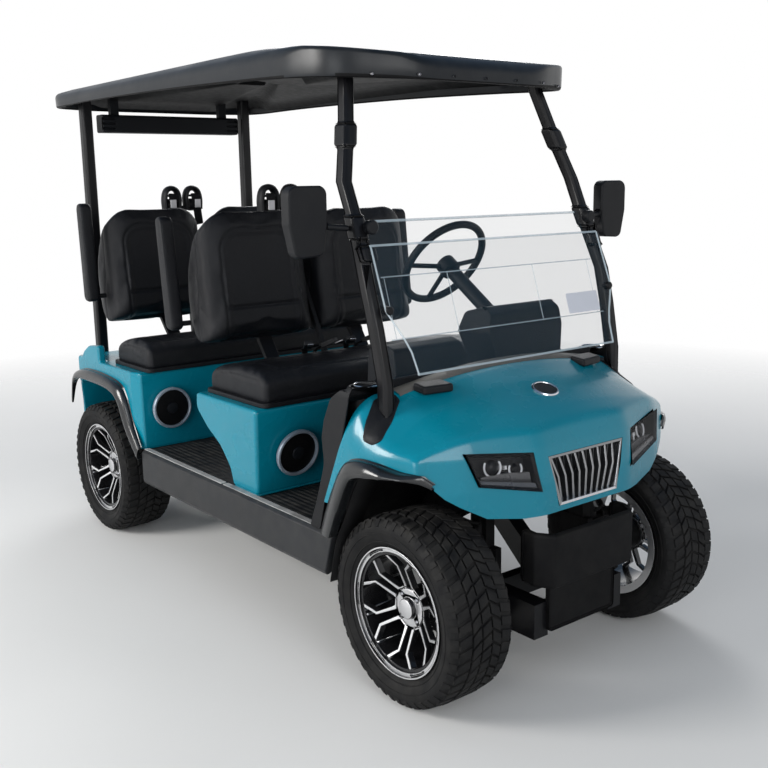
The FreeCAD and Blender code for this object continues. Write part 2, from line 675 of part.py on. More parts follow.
# Centres of the right post's level sections, foot to head, as (x, y, z)
POST_PATH = [(W - 95.0, 108.0, 800.0), (W - 94.0, 111.0, 936.0), (W - 89.0, 143.0, 1094.0),
             (W - 85.0, 173.0, 1208.0), (W - 103.0, 250.0, 1395.0), (W - 104.0, 304.0, 1516.0),
             (W - 147.0, 347.0, 1651.0), (W - 187.0, 398.0, 1812.0), (W - 196.0, 410.0, 1900.0)]
HINGE_Z = POST_PATH[4][2]
HINGE_GROW = 6.0
UPPER_TOP = (184.0, 1333.0)
UPPER_FOOT = (45.0, 965.0)
PANE = 5.0


def post_at(z):
    """Centre of the right front post at a height, read off its path."""
    for (x0, y0, z0), (x1, y1, z1) in zip(POST_PATH, POST_PATH[1:]):
        if z0 <= z <= z1:
            share = (z - z0) / (z1 - z0)
            return x0 + share * (x1 - x0), y0 + share * (y1 - y0)
    raise ValueError("no post at that height")


def collar(z0, z1, grow):
    """A clamp round the right front post between two heights."""
    path = [post_at(z0) + (z0,), post_at(z1) + (z1,)]
    return along(path, POST_X_SIZE / 2 + grow, POST_Y_SIZE / 2 + grow)


def hinge_clamp(grow):
    """The clamp beside the lower pane's top, or the space round it."""
    return collar(HINGE_Z - 45, HINGE_Z + 22, HINGE_GROW + grow)


def behind_upper_pane(z):
    """Just behind the folded pane's rear face at a height."""
    lean = (UPPER_TOP[0] - UPPER_FOOT[0]) / (UPPER_TOP[1] - UPPER_FOOT[1])
    return UPPER_TOP[0] + (z - UPPER_TOP[1]) * lean + PANE * math.hypot(1, lean) + GAP


def front_posts():
    """Bent square posts with their clamps, hinge blocks and the feet inside the body."""
    bars = along(POST_PATH, POST_X_SIZE / 2, POST_Y_SIZE / 2, 6.0)
    joint_z = POST_PATH[6][2]
    clamps = [collar(joint_z - 34, joint_z + 34, 8), hinge_clamp(0.0)]
    z0, z1 = UPPER_TOP[1] - 45, UPPER_TOP[1] - 2
    x, y = post_at(z0)
    side = [(behind_upper_pane(z0), z0), (behind_upper_pane(z1), z1), (y, z1), (y, z0)]
    hinge = prism(side, "side", x - 38, x + 14)
    post = fuse([bars, hinge] + clamps).cut(cowl_hull()).cut(dash_body()).cut(both(shield_envelope()))
    post = largest(post)
    head = below_roof(post.common(block(0, BEYOND, 0, 700, SPLIT_Z, 2100)))
    save("front_posts", both(fuse([post.common(block(0, BEYOND, 0, 700, 0, SPLIT_Z)), head])))


def shield_envelope():
    """The space that the leg shield's top fills, for cutting what stands on it."""
    return block(DASH_HALF_W, BODY_HALF_W, COWL_BACK, 430, 400, 935)


def leaning_pane(stations, foot, top, thick):
    """A flat pane through two side points (y, z), with its outline given as half widths by height."""
    lean = math.atan2(top[0] - foot[0], top[1] - foot[1])
    flat = [(x, (z - foot[1]) / math.cos(lean)) for x, z in stations]
    outline = flat + [(-x, z) for x, z in reversed(flat)]
    pane = prism(outline, "front", 0, thick)
    pane.rotate(V(0, 0, 0), V(1, 0, 0), -math.degrees(lean))
    pane.translate(V(0, foot[0], foot[1]))
    return pane


def windshield():
    """Two clear panes: the lower one stands between the posts, the upper one is folded forward."""
    foot_z, top_z = 952.0, HINGE_Z + 5
    inner = [(post_at(z)[0] - POST_X_SIZE / 2 - GAP, z) for z in (foot_z, POST_PATH[2][2], POST_PATH[3][2])]
    inner += [(post_at(z)[0] - POST_X_SIZE / 2 - HINGE_GROW - 2, z) for z in (HINGE_Z - 55, top_z)]
    foot, top = post_at(foot_z), post_at(top_z)
    save("windshield_lower", leaning_pane(inner, (foot[1] - PANE, foot_z), (top[1] - PANE, top_z), PANE))
    stations = [(W - 167, UPPER_FOOT[1]), (W - 160, 1030.0), (W - 145, 1069.0), (W - 103, 1150.0),
                (W - 105, UPPER_TOP[1])]
    upper = leaning_pane(stations, UPPER_FOOT, UPPER_TOP, PANE)
    save("windshield_upper", upper)


def mirrors():
    """Mirror housings on short arms from the hinge clamps."""
    in_x, out_x = BODY_HALF_W - 2, BODY_HALF_W + 130
    housing = prism([(in_x + 14, 1308), (out_x - 22, 1302), (out_x, 1400), (out_x, 1506), (in_x, 1506),
                     (in_x, 1400)], "front", 245, 288, [22, 26, 30, 30, 26, 30])
    x, y = post_at(HINGE_Z - 15)
    arm = rod(V(x, y, HINGE_Z - 15), V(in_x + 22, 266, HINGE_Z - 3), 9).cut(hinge_clamp(GAP))
    save("mirrors", both(fuse([housing, largest(arm)])))


def steering_column_bar(grow):
    return rod(STEER_CENTRE + STEER_WAY * (BOSS_DEPTH + GAP), COLUMN_FOOT, COLUMN_R + grow)


def steering():
    ring_r, grip_r = 172.0, 14.0
    ring = Part.makeTorus(ring_r, grip_r, STEER_CENTRE, STEER_WAY)
    boss = Part.makeCylinder(38, BOSS_DEPTH - 4, STEER_CENTRE + STEER_WAY * 4, STEER_WAY)
    across = V(1, 0, 0)
    down = STEER_WAY.cross(across).normalize()
    spokes = []
    for turn in (0, 180, 270):
        out = across * math.cos(math.radians(turn)) + down * math.sin(math.radians(turn))
        spokes.append(rod(STEER_CENTRE + STEER_WAY * 22 + out * 20, STEER_CENTRE + out * ring_r, 9))
    save("steering_wheel", fuse([ring, boss] + spokes))
    save("steering_column", steering_column_bar(0))


def pedals():
    """Accelerator and brake pedals on stalks from the toe board."""
    pieces = []
    for x, half in ((205.0, 45.0), (325.0, 28.0)):
        plate = prism([(352, 560), (392, 690), (400, 688), (360, 558)], "side", x - half, x + half)
        stalk = rod(V(x, 377, 610), V(x, 320, 568), 8)
        pieces.append(fuse([plate, stalk]).cut(toe_block()))
    save("pedals", Part.makeCompound(pieces))


def toe_block():
    """Everything forward of the toe board's face, to end the pedals' stalks on it."""
    face = [(FLOOR_Y0 + TOE_THICK, FLOOR_Z)] + TOE_LINE[1:]
    line = [(y + GAP, z) for y, z in face]
    return prism(line + [(0, TOE_LINE[-1][1]), (0, FLOOR_Z)], "side", -BEYOND, BEYOND)


# Seats and their pods

def pod_profile(inset):
    """Side outline of the front seat's pod, from its front foot upwards and round."""
    y0 = FRONT_ROW_Y
    outline = [(y0 - 10, FLOOR_Z), (y0 - 70, POD_Z), (y0 + 350, POD_Z), (y0 + 368, 712), (y0 + 300, 645),
               (y0 + 220, 592), (y0 + 168, 523), (y0 + 158, FLOOR_Z)]
    if not inset:
        return outline, [0, 16, 14, 40, 60, 60, 60, 0]
    inner = [(y0 - 10 + inset, FLOOR_Z - 1), (y0 - 70 + inset, POD_Z - inset),
             (y0 + 350 - inset, POD_Z - inset), (y0 + 360 - inset, 715), (y0 + 295, 651), (y0 + 214, 597),
             (y0 + 162, 525), (y0 + 152, FLOOR_Z - 1)]
    return inner, [0, 10, 10, 34, 60, 60, 60, 0]


def pod_hull(inset=0.0):
    outline, radii = pod_profile(inset)
    body = prism(outline, "side", -BEYOND, BEYOND, radii)
    foot, top = BODY_HALF_W - 35 - inset, BODY_HALF_W - 5 - inset
    width = mirrored([(foot, FLOOR_Z - 1), (top, POD_Z)])
    return body.common(prism(width, "front", 0, 2 * WHEELBASE))


def front_seat_pod():
    save("front_seat_pod", pod_hull().cut(pod_hull(PANEL)))


def speaker(at, lean):
    """A ringed loudspeaker: flange, cone recess and centre cap, facing forwards."""
    r = SPEAKER_R
    profile = [(-14, 0), (-14, r - 8), (16, r - 8), (20, r), (32, r), (32, r - 12), (14, r - 20), (4, 24),
               (12, 0)]
    solid = turned(profile)
    solid.rotate(V(0, 0, 0), V(0, 0, 1), -90)
    solid.rotate(V(0, 0, 0), V(1, 0, 0), lean)
    solid.translate(at)
    return solid


def speakers():
    pod_face_y = FRONT_ROW_Y - 10 - 60 * (601 - FLOOR_Z) / (POD_Z - FLOOR_Z)
    lean = -math.degrees(math.atan2(60, POD_Z - FLOOR_Z))
    front = speaker(V(BODY_HALF_W - 175, pod_face_y, 601), lean).cut(pod_hull())
    rear = speaker(V(BODY_HALF_W - 140, REAR_ROW_Y - 26, 616), 0).cut(rear_hull())
    save("speakers", Part.makeCompound([both(largest(front)), both(largest(rear))]))


def battery():
    y0 = FRONT_ROW_Y
    save("battery", block(-330, 330, y0 + 25, y0 + 140, FLOOR_Z + GAP, 690))


def rear_plan(inset):
    w = BODY_HALF_W - inset
    return mirrored([(w - 30, REAR_ROW_Y - 60), (w, REAR_ROW_Y + 30), (w, WHEELBASE + 170),
                     (w - 120, REAR_BODY_END - inset)])


REAR_BODY_END = WHEELBASE + 430
REAR_FACE = [(REAR_ROW_Y - 28, FLOOR_Z), (REAR_ROW_Y - 24, POD_Z)]


def rear_hull():
    """The rear body's outer form, with a fin beside each end of the seat."""
    side = [REAR_FACE[0], REAR_FACE[1], (WHEELBASE + 190, POD_Z), (REAR_BODY_END - 60, 705),
            (REAR_BODY_END, 560), (REAR_BODY_END - 20, FLOOR_Z)]
    body = prism(side, "side", -BEYOND, BEYOND, [0, 14, 40, 60, 60, 0])
    a = WHEELBASE
    fin = [(a - 63, POD_Z - 20), (a - 58, 842), (a + 49, 832), (a + 102, 805), (a + 177, 736), (a + 177, 700)]
    fins = both(prism(fin, "side", CUSHION_HALF_W + 5, BEYOND, [0, 14, 30, 30, 0, 0]))
    return fuse([body, fins]).common(prism(rear_plan(0.0), "plan", 300, 1000, 18))


def rear_body():
    """Painted rear shell under the back seat, with its wheel housings."""
    t = PANEL
    side = [(REAR_FACE[0][0] + t, FLOOR_Z - 10), (REAR_FACE[1][0] + t, POD_Z - t), (WHEELBASE + 188, POD_Z - t),
            (REAR_BODY_END - 66, 700), (REAR_BODY_END - t, 558), (REAR_BODY_END - 26, FLOOR_Z - 10)]
    inner = prism(side, "side", -BEYOND, BEYOND, [0, 10, 36, 54, 54, 0])
    inner = inner.common(prism(rear_plan(t), "plan", 300, 1000, 14))
    in_x = REAR_HALF_TRACK - 128
    arch = prism(REAR_ARCH, "side", in_x, BEYOND)
    housing = prism(outset(REAR_ARCH, 1.3 * t, (WHEELBASE, AXLE_Z)), "side", in_x - t, BEYOND)
    shell = rear_hull().cut(inner.cut(both(housing))).cut(both(arch))
    save("rear_body", largest(shell))


FLARE_OUT = 38.0


def flare(arch, rise, z_low, plan, roots):
    """A lip round a wheel opening: level between its roots' widths, then sloping to the outer edge."""
    centre = (arch[len(arch) // 2][0], AXLE_Z)
    opening = arch[1:-1]
    rings = []
    for x, line in [(x, rise) for x in roots] + [(BODY_HALF_W + FLARE_OUT, outset(opening, 8, centre))]:
        rings.append([V(x, a, b) for a, b in line + opening[::-1]])
    lip = lofted(rings)
    lip = lip.common(block(0, BEYOND, -BEYOND, 2 * WHEELBASE, z_low, 900))
    return lip.common(prism(plan, "plan", 200, 1000))


def flares():
    w, out = BODY_HALF_W, BODY_HALF_W + FLARE_OUT + 1
    front_rise = round_tyre(0.0, [
        (-112.0, 390.0), (-88.0, 427.0), (-31.0, 431.0), (57.0, 447.0), (136.0, 440.0), (187.0, 410.0),
        (258.0, 302.0), (308.0, 192.0)])
    root_x = w - 135
    front_plan = [(w, 340), (w, 80), (root_x, 80), (root_x, -112), (w - 80, -110), (w - 40, -90), (w, -55),
                  (w + 28, 0), (out, 60), (out, 200), (w + 22, 340)]
    lip = flare(FRONT_ARCH, front_rise, FLOOR_Z + 4 + GAP, front_plan, [root_x, w + GAP])
    save("front_flares", both(largest(lip.cut(cowl_hull()))))
    a = WHEELBASE
    rear_rise = round_tyre(a, [
        (-480.0, 152.0), (-385.0, 272.0), (-330.0, 384.0), (-262.0, 428.0), (-60.0, 444.0), (110.0, 434.0),
        (215.0, 384.0), (300.0, 272.0)])
    rear_plan_keep = [(w - 5, a - 470), (w - 5, a + 300), (w, a + 300), (out, a + 150), (out, a - 280),
                      (w + 20, a - 470)]
    sill = block(0, BEYOND, 0, ROCKER_Y[1] + GAP, 0, ROCKER_Z[1] + GAP)
    lip = flare(REAR_ARCH, rear_rise, 380.0, rear_plan_keep, [w + GAP])
    save("rear_flares", both(lip.cut(sill)))


CUSHION_THICK = 113.0


def seat(row, row_y, cushion_y, back_y):
    """A bench cushion and a pair of backs on their supports."""
    z0 = POD_Z + GAP
    z1 = z0 + CUSHION_THICK
    y0, y1 = cushion_y
    outline = [(y0, z0 + 8), (y0, z1 - 26), (y0 + 40, z1), (y0 + 190, z1 + 6), (y1 - 40, z1 - 14),
               (y1, z1 - 34), (y1 + 8, z0)]
    cushion = prism(outline, "side", -CUSHION_HALF_W, CUSHION_HALF_W, [8, 22, 30, 60, 30, 20, 0])
    save("%s_seat_cushion" % row, cushion)
    profile = [(0, BACK_Z0 + 12), (66, BACK_Z1), (112, BACK_Z1 - 14), (166, 1335), (208, 1210), (220, 1090),
               (208, 1010), (172, 946), (118, BACK_Z0 - 12)]
    profile = [(back_y + a, b) for a, b in profile]
    back = prism(profile, "side", BACK_INNER_X, BACK_HALF_W, [22, 18, 24, 60, 60, 60, 40, 40, 20])
    foot_y, foot_z = y1 + 9, POD_Z - 20
    support = prism([(foot_y, foot_z), (foot_y + 16, foot_z), (back_y + 150, BACK_Z0 + 50),
                     (back_y + 120, BACK_Z0 + 50)], "side", 190, 250)
    piece = fuse([back, support]).cut(rear_hull()).cut(pod_hull())
    save("%s_seat_backs" % row, both(largest(piece)))


def seats():
    seat("front", FRONT_ROW_Y, (FRONT_ROW_Y - 65, FRONT_ROW_Y + 332), FRONT_ROW_Y + 380)
    seat("rear", REAR_ROW_Y, (REAR_ROW_Y - 52, REAR_ROW_Y + 280), REAR_ROW_Y + 365)


def belt_towers():
    """Posts behind the seat backs that carry a pair of belt retractors each."""
    pieces = []
    for root_y, head_y in ((FRONT_ROW_Y + 328, FRONT_ROW_Y + 672), (WHEELBASE + 200, WHEELBASE + 262)):
        stem = prism([(root_y - 14, 700), (root_y + 14, 700), (head_y + 10, 1420), (head_y - 18, 1420)], "side",
                     -9, 9)
        head = prism([(-98, 1398), (-104, 1452), (-62, 1516), (62, 1516), (104, 1452), (98, 1398)], "front",
                     head_y - 34, head_y + 34, [16, 40, 44, 44, 40, 16])
        notch = prism([(-20, 1530), (-12, 1468), (12, 1468), (20, 1530)], "front", head_y - 40, head_y + 40)
        pieces.append(fuse([stem, head.cut(notch)]))
    pieces[0] = pieces[0].cut(pod_hull())
    pieces[1] = pieces[1].cut(rear_hull())
    save("belt_towers", Part.makeCompound([largest(piece) for piece in pieces]))


ARMREST_ROWS = [
    # row, pivot y, pivot z, run back over its height
    ("front", FRONT_ROW_Y + 545, 1000.0, 50.0),
    ("rear", REAR_ROW_Y + 458, 1045.0, 26.0),
]


def armrests():
    reach, half = 400.0, 27.0
    for row, y, z, run in ARMREST_ROWS:
        bar = prism([(y - half, z - 22), (y + half, z - 22), (y + half + run, z + reach), (y - half + run, z + reach)],
                    "side", BODY_HALF_W - 62, BODY_HALF_W - 12, [20, 20, 24, 24])
        pin = rod(V(BACK_HALF_W + GAP, y, z), V(BODY_HALF_W - 61, y, z), 10)
        for name, side in (("left", 1), ("right", -1)):
            save("armrest_%s_%s" % (row, name), on_side(fuse([bar, pin]), side))


# Roof and what hangs from it

SPLIT_Z = 1750.0


def roof_plan(inset):
    """Half of the roof's plan with its corner radii, from the front round to the back."""
    w, y0, y1 = ROOF_HALF_W - inset, ROOF_Y0 + inset, REAR_END - inset
    corners = [(w - 293, y0, 300), (w - 43, y0 + 108, 200), (w, y0 + 298, 300),
               (w, y1 - 172, 200), (w - 28, y1 - 62, 90), (w - 223, y1, 200)]
    outline = [(x, y) for x, y, _ in corners] + [(-x, y) for x, y, _ in reversed(corners)]
    radii = [r for _, _, r in corners]
    return prism(outline, "plan", 1500, 2100, radii + radii[::-1])


def roof_forms():
    """The roof's outer form and the hollow under its skin, which goes on below its edge."""
    y0, y1 = ROOF_Y0, REAR_END
    span = y1 - y0
    lip = [(y0, 1810), (y0 + 0.2 * span, 1834), (y0 + 0.46 * span, 1855), (y0 + 0.76 * span, 1866), (y1, 1864)]
    top = [(y1, 1892), (y1 - 60, 1922), (y0 + 0.9 * span, 1950), (y0 + 0.8 * span, 1968), (y0 + 0.59 * span, 1974),
           (y0 + 0.39 * span, 1962), (y0 + 0.13 * span, 1920), (y0 + 60, 1894), (y0, 1852)]
    inner_lip = [(y0, SPLIT_Z - 100), (y1, SPLIT_Z - 100)]
    inner_top = [(a, b - ROOF_SKIN) for a, b in top]
    w = ROOF_HALF_W
    crown = [(0, 1974), (0.62 * w, 1962), (w - 56, 1938), (w - 8, 1912), (w, 1890), (w, 1700), (0, 1700)]
    inner_crown = [(a, b - ROOF_SKIN) for a, b in crown[:3]] + [(w - 14, 1902), (w, 1880), (w, 1500), (0, 1500)]
    forms = []
    for side, front, inset in ((lip + top, crown, 0.0), (inner_lip + inner_top, inner_crown, ROOF_RIM)):
        body = prism(side, "side", -BEYOND, BEYOND).common(prism(mirrored(front), "front", 0, 2 * WHEELBASE))
        forms.append(body.common(roof_plan(inset)))
    return forms


def below_roof(post):
    """The part of an upright that stands inside the roof, up to its underside."""
    cavity = roof_forms()[1]
    cavity.translate(V(0, 0, -GAP))
    return post.common(cavity)


def roof():
    outer, inner = roof_forms()
    save("roof", outer.cut(inner))


def rear_posts():
    half = REAR_POST_SIZE / 2
    foot = [(REAR_POST_X, REAR_POST_Y, 600.0), (REAR_POST_X, REAR_POST_Y, SPLIT_Z)]
    head = [(REAR_POST_X, REAR_POST_Y, SPLIT_Z - 1), (REAR_POST_X, REAR_POST_Y, 2000.0)]
    post = along(foot, half, half, 6.0).cut(rear_hull())
    post = max(post.Solids, key=lambda solid: solid.CenterOfMass.z)
    save("rear_posts", both(fuse([post, below_roof(along(head, half, half, 6.0))])))


def sound_bar():
    """Long loudspeaker bar with finned ends, hung between the rear posts."""
    y, z = REAR_POST_Y - 10, 1797.0
    deep, tall, half = 38.0, 40.0, REAR_POST_X - 61
    bar = prism([(y - deep, z - tall), (y - deep, z + tall), (y + deep, z + tall), (y + deep, z - tall)], "side",
                -half, half, 12)
    fin_w, fin_gap = 62.0, 22.0
    for k in (-1, 0, 1):
        slot = block(half - fin_w, half + 1, y - deep - 1, y - deep + 12, z + k * fin_gap - 4, z + k * fin_gap + 4)
        bar = bar.cut(both(slot))
    x = 0.8 * half
    hanger = below_roof(block(x - 20, x + 20, y - 15, y + 15, z + tall - 5, 2000))
    save("sound_bar", fuse([bar, hanger, flip(hanger)]))


# Rear end

def tail_lamps():
    lamp = block(BODY_HALF_W - 190, BODY_HALF_W - 118, REAR_BODY_END - 60, REAR_BODY_END + 6, 560, 640)
    save("tail_lamps", both(largest(lamp.cut(rear_hull()))))


def rear_bumper():
    """Bumper beam behind the rails with a tow plate set in its middle."""
    start = REAR_END - 60 + GAP
    beam = prism([(BODY_HALF_W - 180, start), (BODY_HALF_W - 180, REAR_END - 30), (BODY_HALF_W - 230, REAR_END),
                  (230 - BODY_HALF_W, REAR_END), (180 - BODY_HALF_W, REAR_END - 30), (180 - BODY_HALF_W, start)],
                 "plan", RAIL_Z, RAIL_TOP, [0, 20, 20, 20, 20, 0])
    plate = block(-45, 45, start, REAR_END, RAIL_Z - TOW_THICK, RAIL_Z)
    relief = block(-60, 60, REAR_END - 55, REAR_END + 1, RAIL_Z, RAIL_TOP + 1)
    hole = Part.makeCylinder(TOW_HOLE_R, 60, V(0, REAR_END - 28, RAIL_Z - 30))
    save("rear_bumper", fuse([beam.cut(relief), plate]).cut(hole))


def main():
    os.makedirs("parts", exist_ok=True)
    for make in (wheels, knuckles, front_suspension, rear_axle, rear_springs, chassis_frame, floor_pan, rockers,
                 front_cowl, headlamps, grille, front_valance, leg_shields, dash, pedals, windshield, front_posts,
                 mirrors, steering, front_seat_pod, speakers, battery, rear_body, flares, seats, belt_towers,
                 armrests, roof, rear_posts, sound_bar, tail_lamps, rear_bumper):
        make()


main()
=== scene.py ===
import json
import math
import random
import bmesh
import bpy
import numpy as np
from mathutils import Matrix, Vector

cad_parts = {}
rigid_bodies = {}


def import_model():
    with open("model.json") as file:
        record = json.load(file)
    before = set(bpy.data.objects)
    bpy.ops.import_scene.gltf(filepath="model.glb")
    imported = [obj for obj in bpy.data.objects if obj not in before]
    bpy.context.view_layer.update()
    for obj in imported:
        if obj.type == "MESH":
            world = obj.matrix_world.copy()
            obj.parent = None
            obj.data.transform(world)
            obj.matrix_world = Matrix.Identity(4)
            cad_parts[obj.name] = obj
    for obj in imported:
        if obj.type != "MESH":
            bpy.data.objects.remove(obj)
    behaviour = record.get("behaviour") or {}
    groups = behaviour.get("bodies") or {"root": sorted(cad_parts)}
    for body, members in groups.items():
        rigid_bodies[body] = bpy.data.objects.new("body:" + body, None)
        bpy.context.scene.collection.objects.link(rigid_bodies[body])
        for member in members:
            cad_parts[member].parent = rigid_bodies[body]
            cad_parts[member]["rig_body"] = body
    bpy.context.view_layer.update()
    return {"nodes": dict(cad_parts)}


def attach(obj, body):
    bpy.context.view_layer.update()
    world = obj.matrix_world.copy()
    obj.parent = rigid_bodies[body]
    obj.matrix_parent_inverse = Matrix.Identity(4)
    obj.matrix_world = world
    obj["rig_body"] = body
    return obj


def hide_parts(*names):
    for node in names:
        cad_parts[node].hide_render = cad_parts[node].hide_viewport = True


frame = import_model()

# Metres. Tables give x, y and z with y measured back from the front axle, and at() moves a
# point to the part's frame.
FRONT_AXLE = -1.132
WHEELBASE = 2.048
TYRE_R = 0.288
HALF_W = 0.600
FRONT_TRACK = 0.476
REAR_TRACK = 0.496
REAR_END = 2.552
FRONT_ROW = 0.770
REAR_ROW = 1.640
SIDES = (("left", 1), ("right", -1))


def at(x, y, z):
    return Vector((x, y + FRONT_AXLE, z))


# Materials

COAT_ROUGHNESS = 0.04
DUST = (0.33, 0.31, 0.27, 1.0)
ALLOY_SILVER = (0.62, 0.62, 0.63, 1.0)
FLOOR_SOLID = 2.2
FLOOR_END = 6.0


def feed(tree, socket, value):
    """Links a socket to an output, or sets it to a value."""
    if isinstance(value, bpy.types.NodeSocket):
        tree.links.new(value, socket)
    else:
        socket.default_value = value


def node(tree, kind, inputs=None, **settings):
    """A shader node with its settings and its inputs."""
    made = tree.nodes.new(kind)
    for key, value in settings.items():
        setattr(made, key, value)
    for key, value in (inputs or {}).items():
        feed(tree, made.inputs[key], value)
    return made


def noise(tree, place, scale, detail=3.0, stretch=None):
    if stretch:
        place = node(tree, "ShaderNodeMapping", {"Vector": place, "Scale": stretch}).outputs["Vector"]
    texture = node(tree, "ShaderNodeTexNoise", {"Vector": place, "Scale": scale, "Detail": detail})
    return texture.outputs["Fac"]


def spread(tree, value, low, high, start=0.25, stop=0.75):
    limits = {"From Min": start, "From Max": stop, "To Min": low, "To Max": high}
    return node(tree, "ShaderNodeMapRange", {"Value": value, **limits}).outputs["Result"]


def cells(tree, place, scale, feature="F1"):
    texture = node(tree, "ShaderNodeTexVoronoi", {"Vector": place, "Scale": scale}, feature=feature)
    return texture.outputs["Distance"]


def bands(tree, place, scale, direction, distortion=0.0):
    inputs = {"Vector": place, "Scale": scale, "Distortion": distortion}
    return node(tree, "ShaderNodeTexWave", inputs, bands_direction=direction).outputs["Fac"]


def maths(tree, operation, *values, **settings):
    return node(tree, "ShaderNodeMath", dict(enumerate(values)), operation=operation, **settings).outputs[0]


def mixed(tree, share, a, b, **settings):
    inputs = {"Factor": share, "A": a, "B": b}
    return node(tree, "ShaderNodeMix", inputs, data_type="RGBA", **settings).outputs["Result"]


def component(tree, vector, axis):
    return node(tree, "ShaderNodeSeparateXYZ", {0: vector}).outputs[axis]


def relief(tree, place, kind):
    """Height for a surface's fine grain, with the depth it stands for."""
    if kind == "leather":
        ridge = spread(tree, cells(tree, place, 330.0, "DISTANCE_TO_EDGE"), 0.0, 1.0, 0.0, 0.22)
        return maths(tree, "MULTIPLY", ridge, spread(tree, noise(tree, place, 90.0), 0.5, 1.0)), 0.0006
    if kind == "grain":
        return cells(tree, place, 900.0), 0.0004
    if kind == "rubber":
        return noise(tree, place, 260.0, 6.0), 0.0007
    if kind == "peel":
        return noise(tree, place, 120.0, 2.0), 0.00016
    if kind == "brushed":
        return noise(tree, place, 500.0, 2.0, (1.0, 1.0, 0.03)), 0.0001
    if kind == "ribbed":
        return bands(tree, place, 14.0, "X"), 0.004
    if kind == "weave":
        return maths(tree, "MULTIPLY", bands(tree, place, 160.0, "Z"), bands(tree, place, 90.0, "X", 2.0)), 0.0006
    return spread(tree, cells(tree, place, 260.0), 1.0, 0.0, 0.12, 0.3), 0.0012


def surface(name, colour, rough, metal=0.0, coat=0.0, vary=0.10, patch=3.5, streak=0.06, grain="grain",
            strength=0.5, specular=0.5, dust=0.0, alpha=1.0):
    """A finish with colour and gloss that change over it, fine grain and optional dust."""
    made = bpy.data.materials.new(name)
    made.use_nodes = True
    tree = made.node_tree
    place = node(tree, "ShaderNodeTexCoord").outputs["Object"]
    tint = spread(tree, noise(tree, place, patch, 5.0), 1.0 - vary, 1.0 + vary)
    base = mixed(tree, 1.0, (*colour, 1.0), tint, blend_type="MULTIPLY")
    if dust:
        facing = component(tree, node(tree, "ShaderNodeNewGeometry").outputs["Normal"], "Z")
        patchy = spread(tree, noise(tree, place, 22.0, 8.0), 0.0, dust, 0.35, 0.75)
        share = maths(tree, "MULTIPLY", spread(tree, facing, 0.25, 1.0, -0.2, 0.8), patchy)
        base = mixed(tree, share, base, DUST)
    height, depth = relief(tree, place, grain)
    bump = node(tree, "ShaderNodeBump", {"Strength": strength, "Distance": depth, "Height": height})
    inputs = {
        "Base Color": base,
        "Roughness": spread(tree, noise(tree, place, 4 * patch, 6.0), rough - streak, rough + streak),
        "Normal": bump.outputs["Normal"],
        "Metallic": metal,
        "Coat Weight": coat,
        "Coat Roughness": COAT_ROUGHNESS,
        "Specular IOR Level": specular,
        "Alpha": alpha,
    }
    for key, value in inputs.items():
        feed(tree, tree.nodes["Principled BSDF"].inputs[key], value)
    return made


TEAL = surface("teal_gloss", (0.0, 0.185, 0.262), 0.27, coat=0.22, vary=0.05, patch=2.0, grain="peel",
               strength=0.10, specular=0.28)
BLACK = surface("black_moulding", (0.006, 0.0065, 0.008), 0.46, vary=0.2, dust=0.02, specular=0.16)
SATIN = surface("black_satin", (0.006, 0.007, 0.008), 0.24, vary=0.18, grain="peel", strength=0.3, dust=0.02,
                coat=0.25, specular=0.45)
ROOF = surface("roof_moulding", (0.009, 0.011, 0.014), 0.34, vary=0.2, patch=1.6, grain="peel", strength=0.5,
               dust=0.04, specular=0.22)
DASH = surface("dash_moulding", (0.006, 0.007, 0.009), 0.5, vary=0.15, strength=0.7, specular=0.15)
GREY = surface("sill_grey", (0.013, 0.014, 0.016), 0.42, vary=0.16, patch=2.4, dust=0.08, specular=0.22)
VINYL = surface("seat_vinyl", (0.0045, 0.005, 0.0068), 0.42, vary=0.2, patch=5.0, grain="leather", strength=0.75,
                specular=0.20)
RUBBER = surface("tyre_rubber", (0.0065, 0.0065, 0.007), 0.66, vary=0.25, patch=9.0, grain="rubber", dust=0.06,
                 specular=0.14)
MAT = surface("floor_rubber", (0.008, 0.008, 0.009), 0.7, vary=0.2, grain="ribbed", strength=0.6, dust=0.10,
              specular=0.15)
STEEL = surface("machined_steel", (0.42, 0.42, 0.44), 0.34, metal=1.0, vary=0.12, patch=12.0, grain="brushed",
                strength=0.3)
CHROME = surface("bright_trim", (0.60, 0.61, 0.63), 0.22, metal=1.0, vary=0.08, grain="peel", strength=0.2)
SLAT = surface("slat_silver", (0.26, 0.265, 0.27), 0.32, metal=1.0, grain="peel", strength=0.3)
COAT = surface("powder_coat", (0.005, 0.005, 0.006), 0.34, vary=0.15, grain="peel", strength=0.8, specular=0.22)
# Darker and duller than the other blacks, for parts underneath and inside the body: the extra darkness is painted
# shade.
SHADED_UNDER = surface("under_black_painted_shade", (0.0045, 0.0045, 0.005), 0.6, vary=0.3, patch=8.0, grain="rubber", dust=0.03,
                specular=0.10)
CASE = surface("battery_case", (0.08, 0.08, 0.09), 0.5)
RED = surface("red_lens", (0.33, 0.006, 0.008), 0.12, coat=1.0, vary=0.06, grain="peel", strength=0.2)
CONE = surface("speaker_mesh", (0.0035, 0.0035, 0.004), 0.5, grain="perforated", strength=0.9, specular=0.12)
RING = surface("speaker_ring", (0.24, 0.28, 0.33), 0.36, metal=0.3, vary=0.08, grain="peel", strength=0.3)
WEBBING = surface("belt_webbing", (0.006, 0.006, 0.007), 0.7, vary=0.15, grain="weave", strength=0.9,
                  specular=0.15)
LABEL = surface("blank_label", (0.62, 0.64, 0.70), 0.45, vary=0.03, grain="peel", strength=0.2)
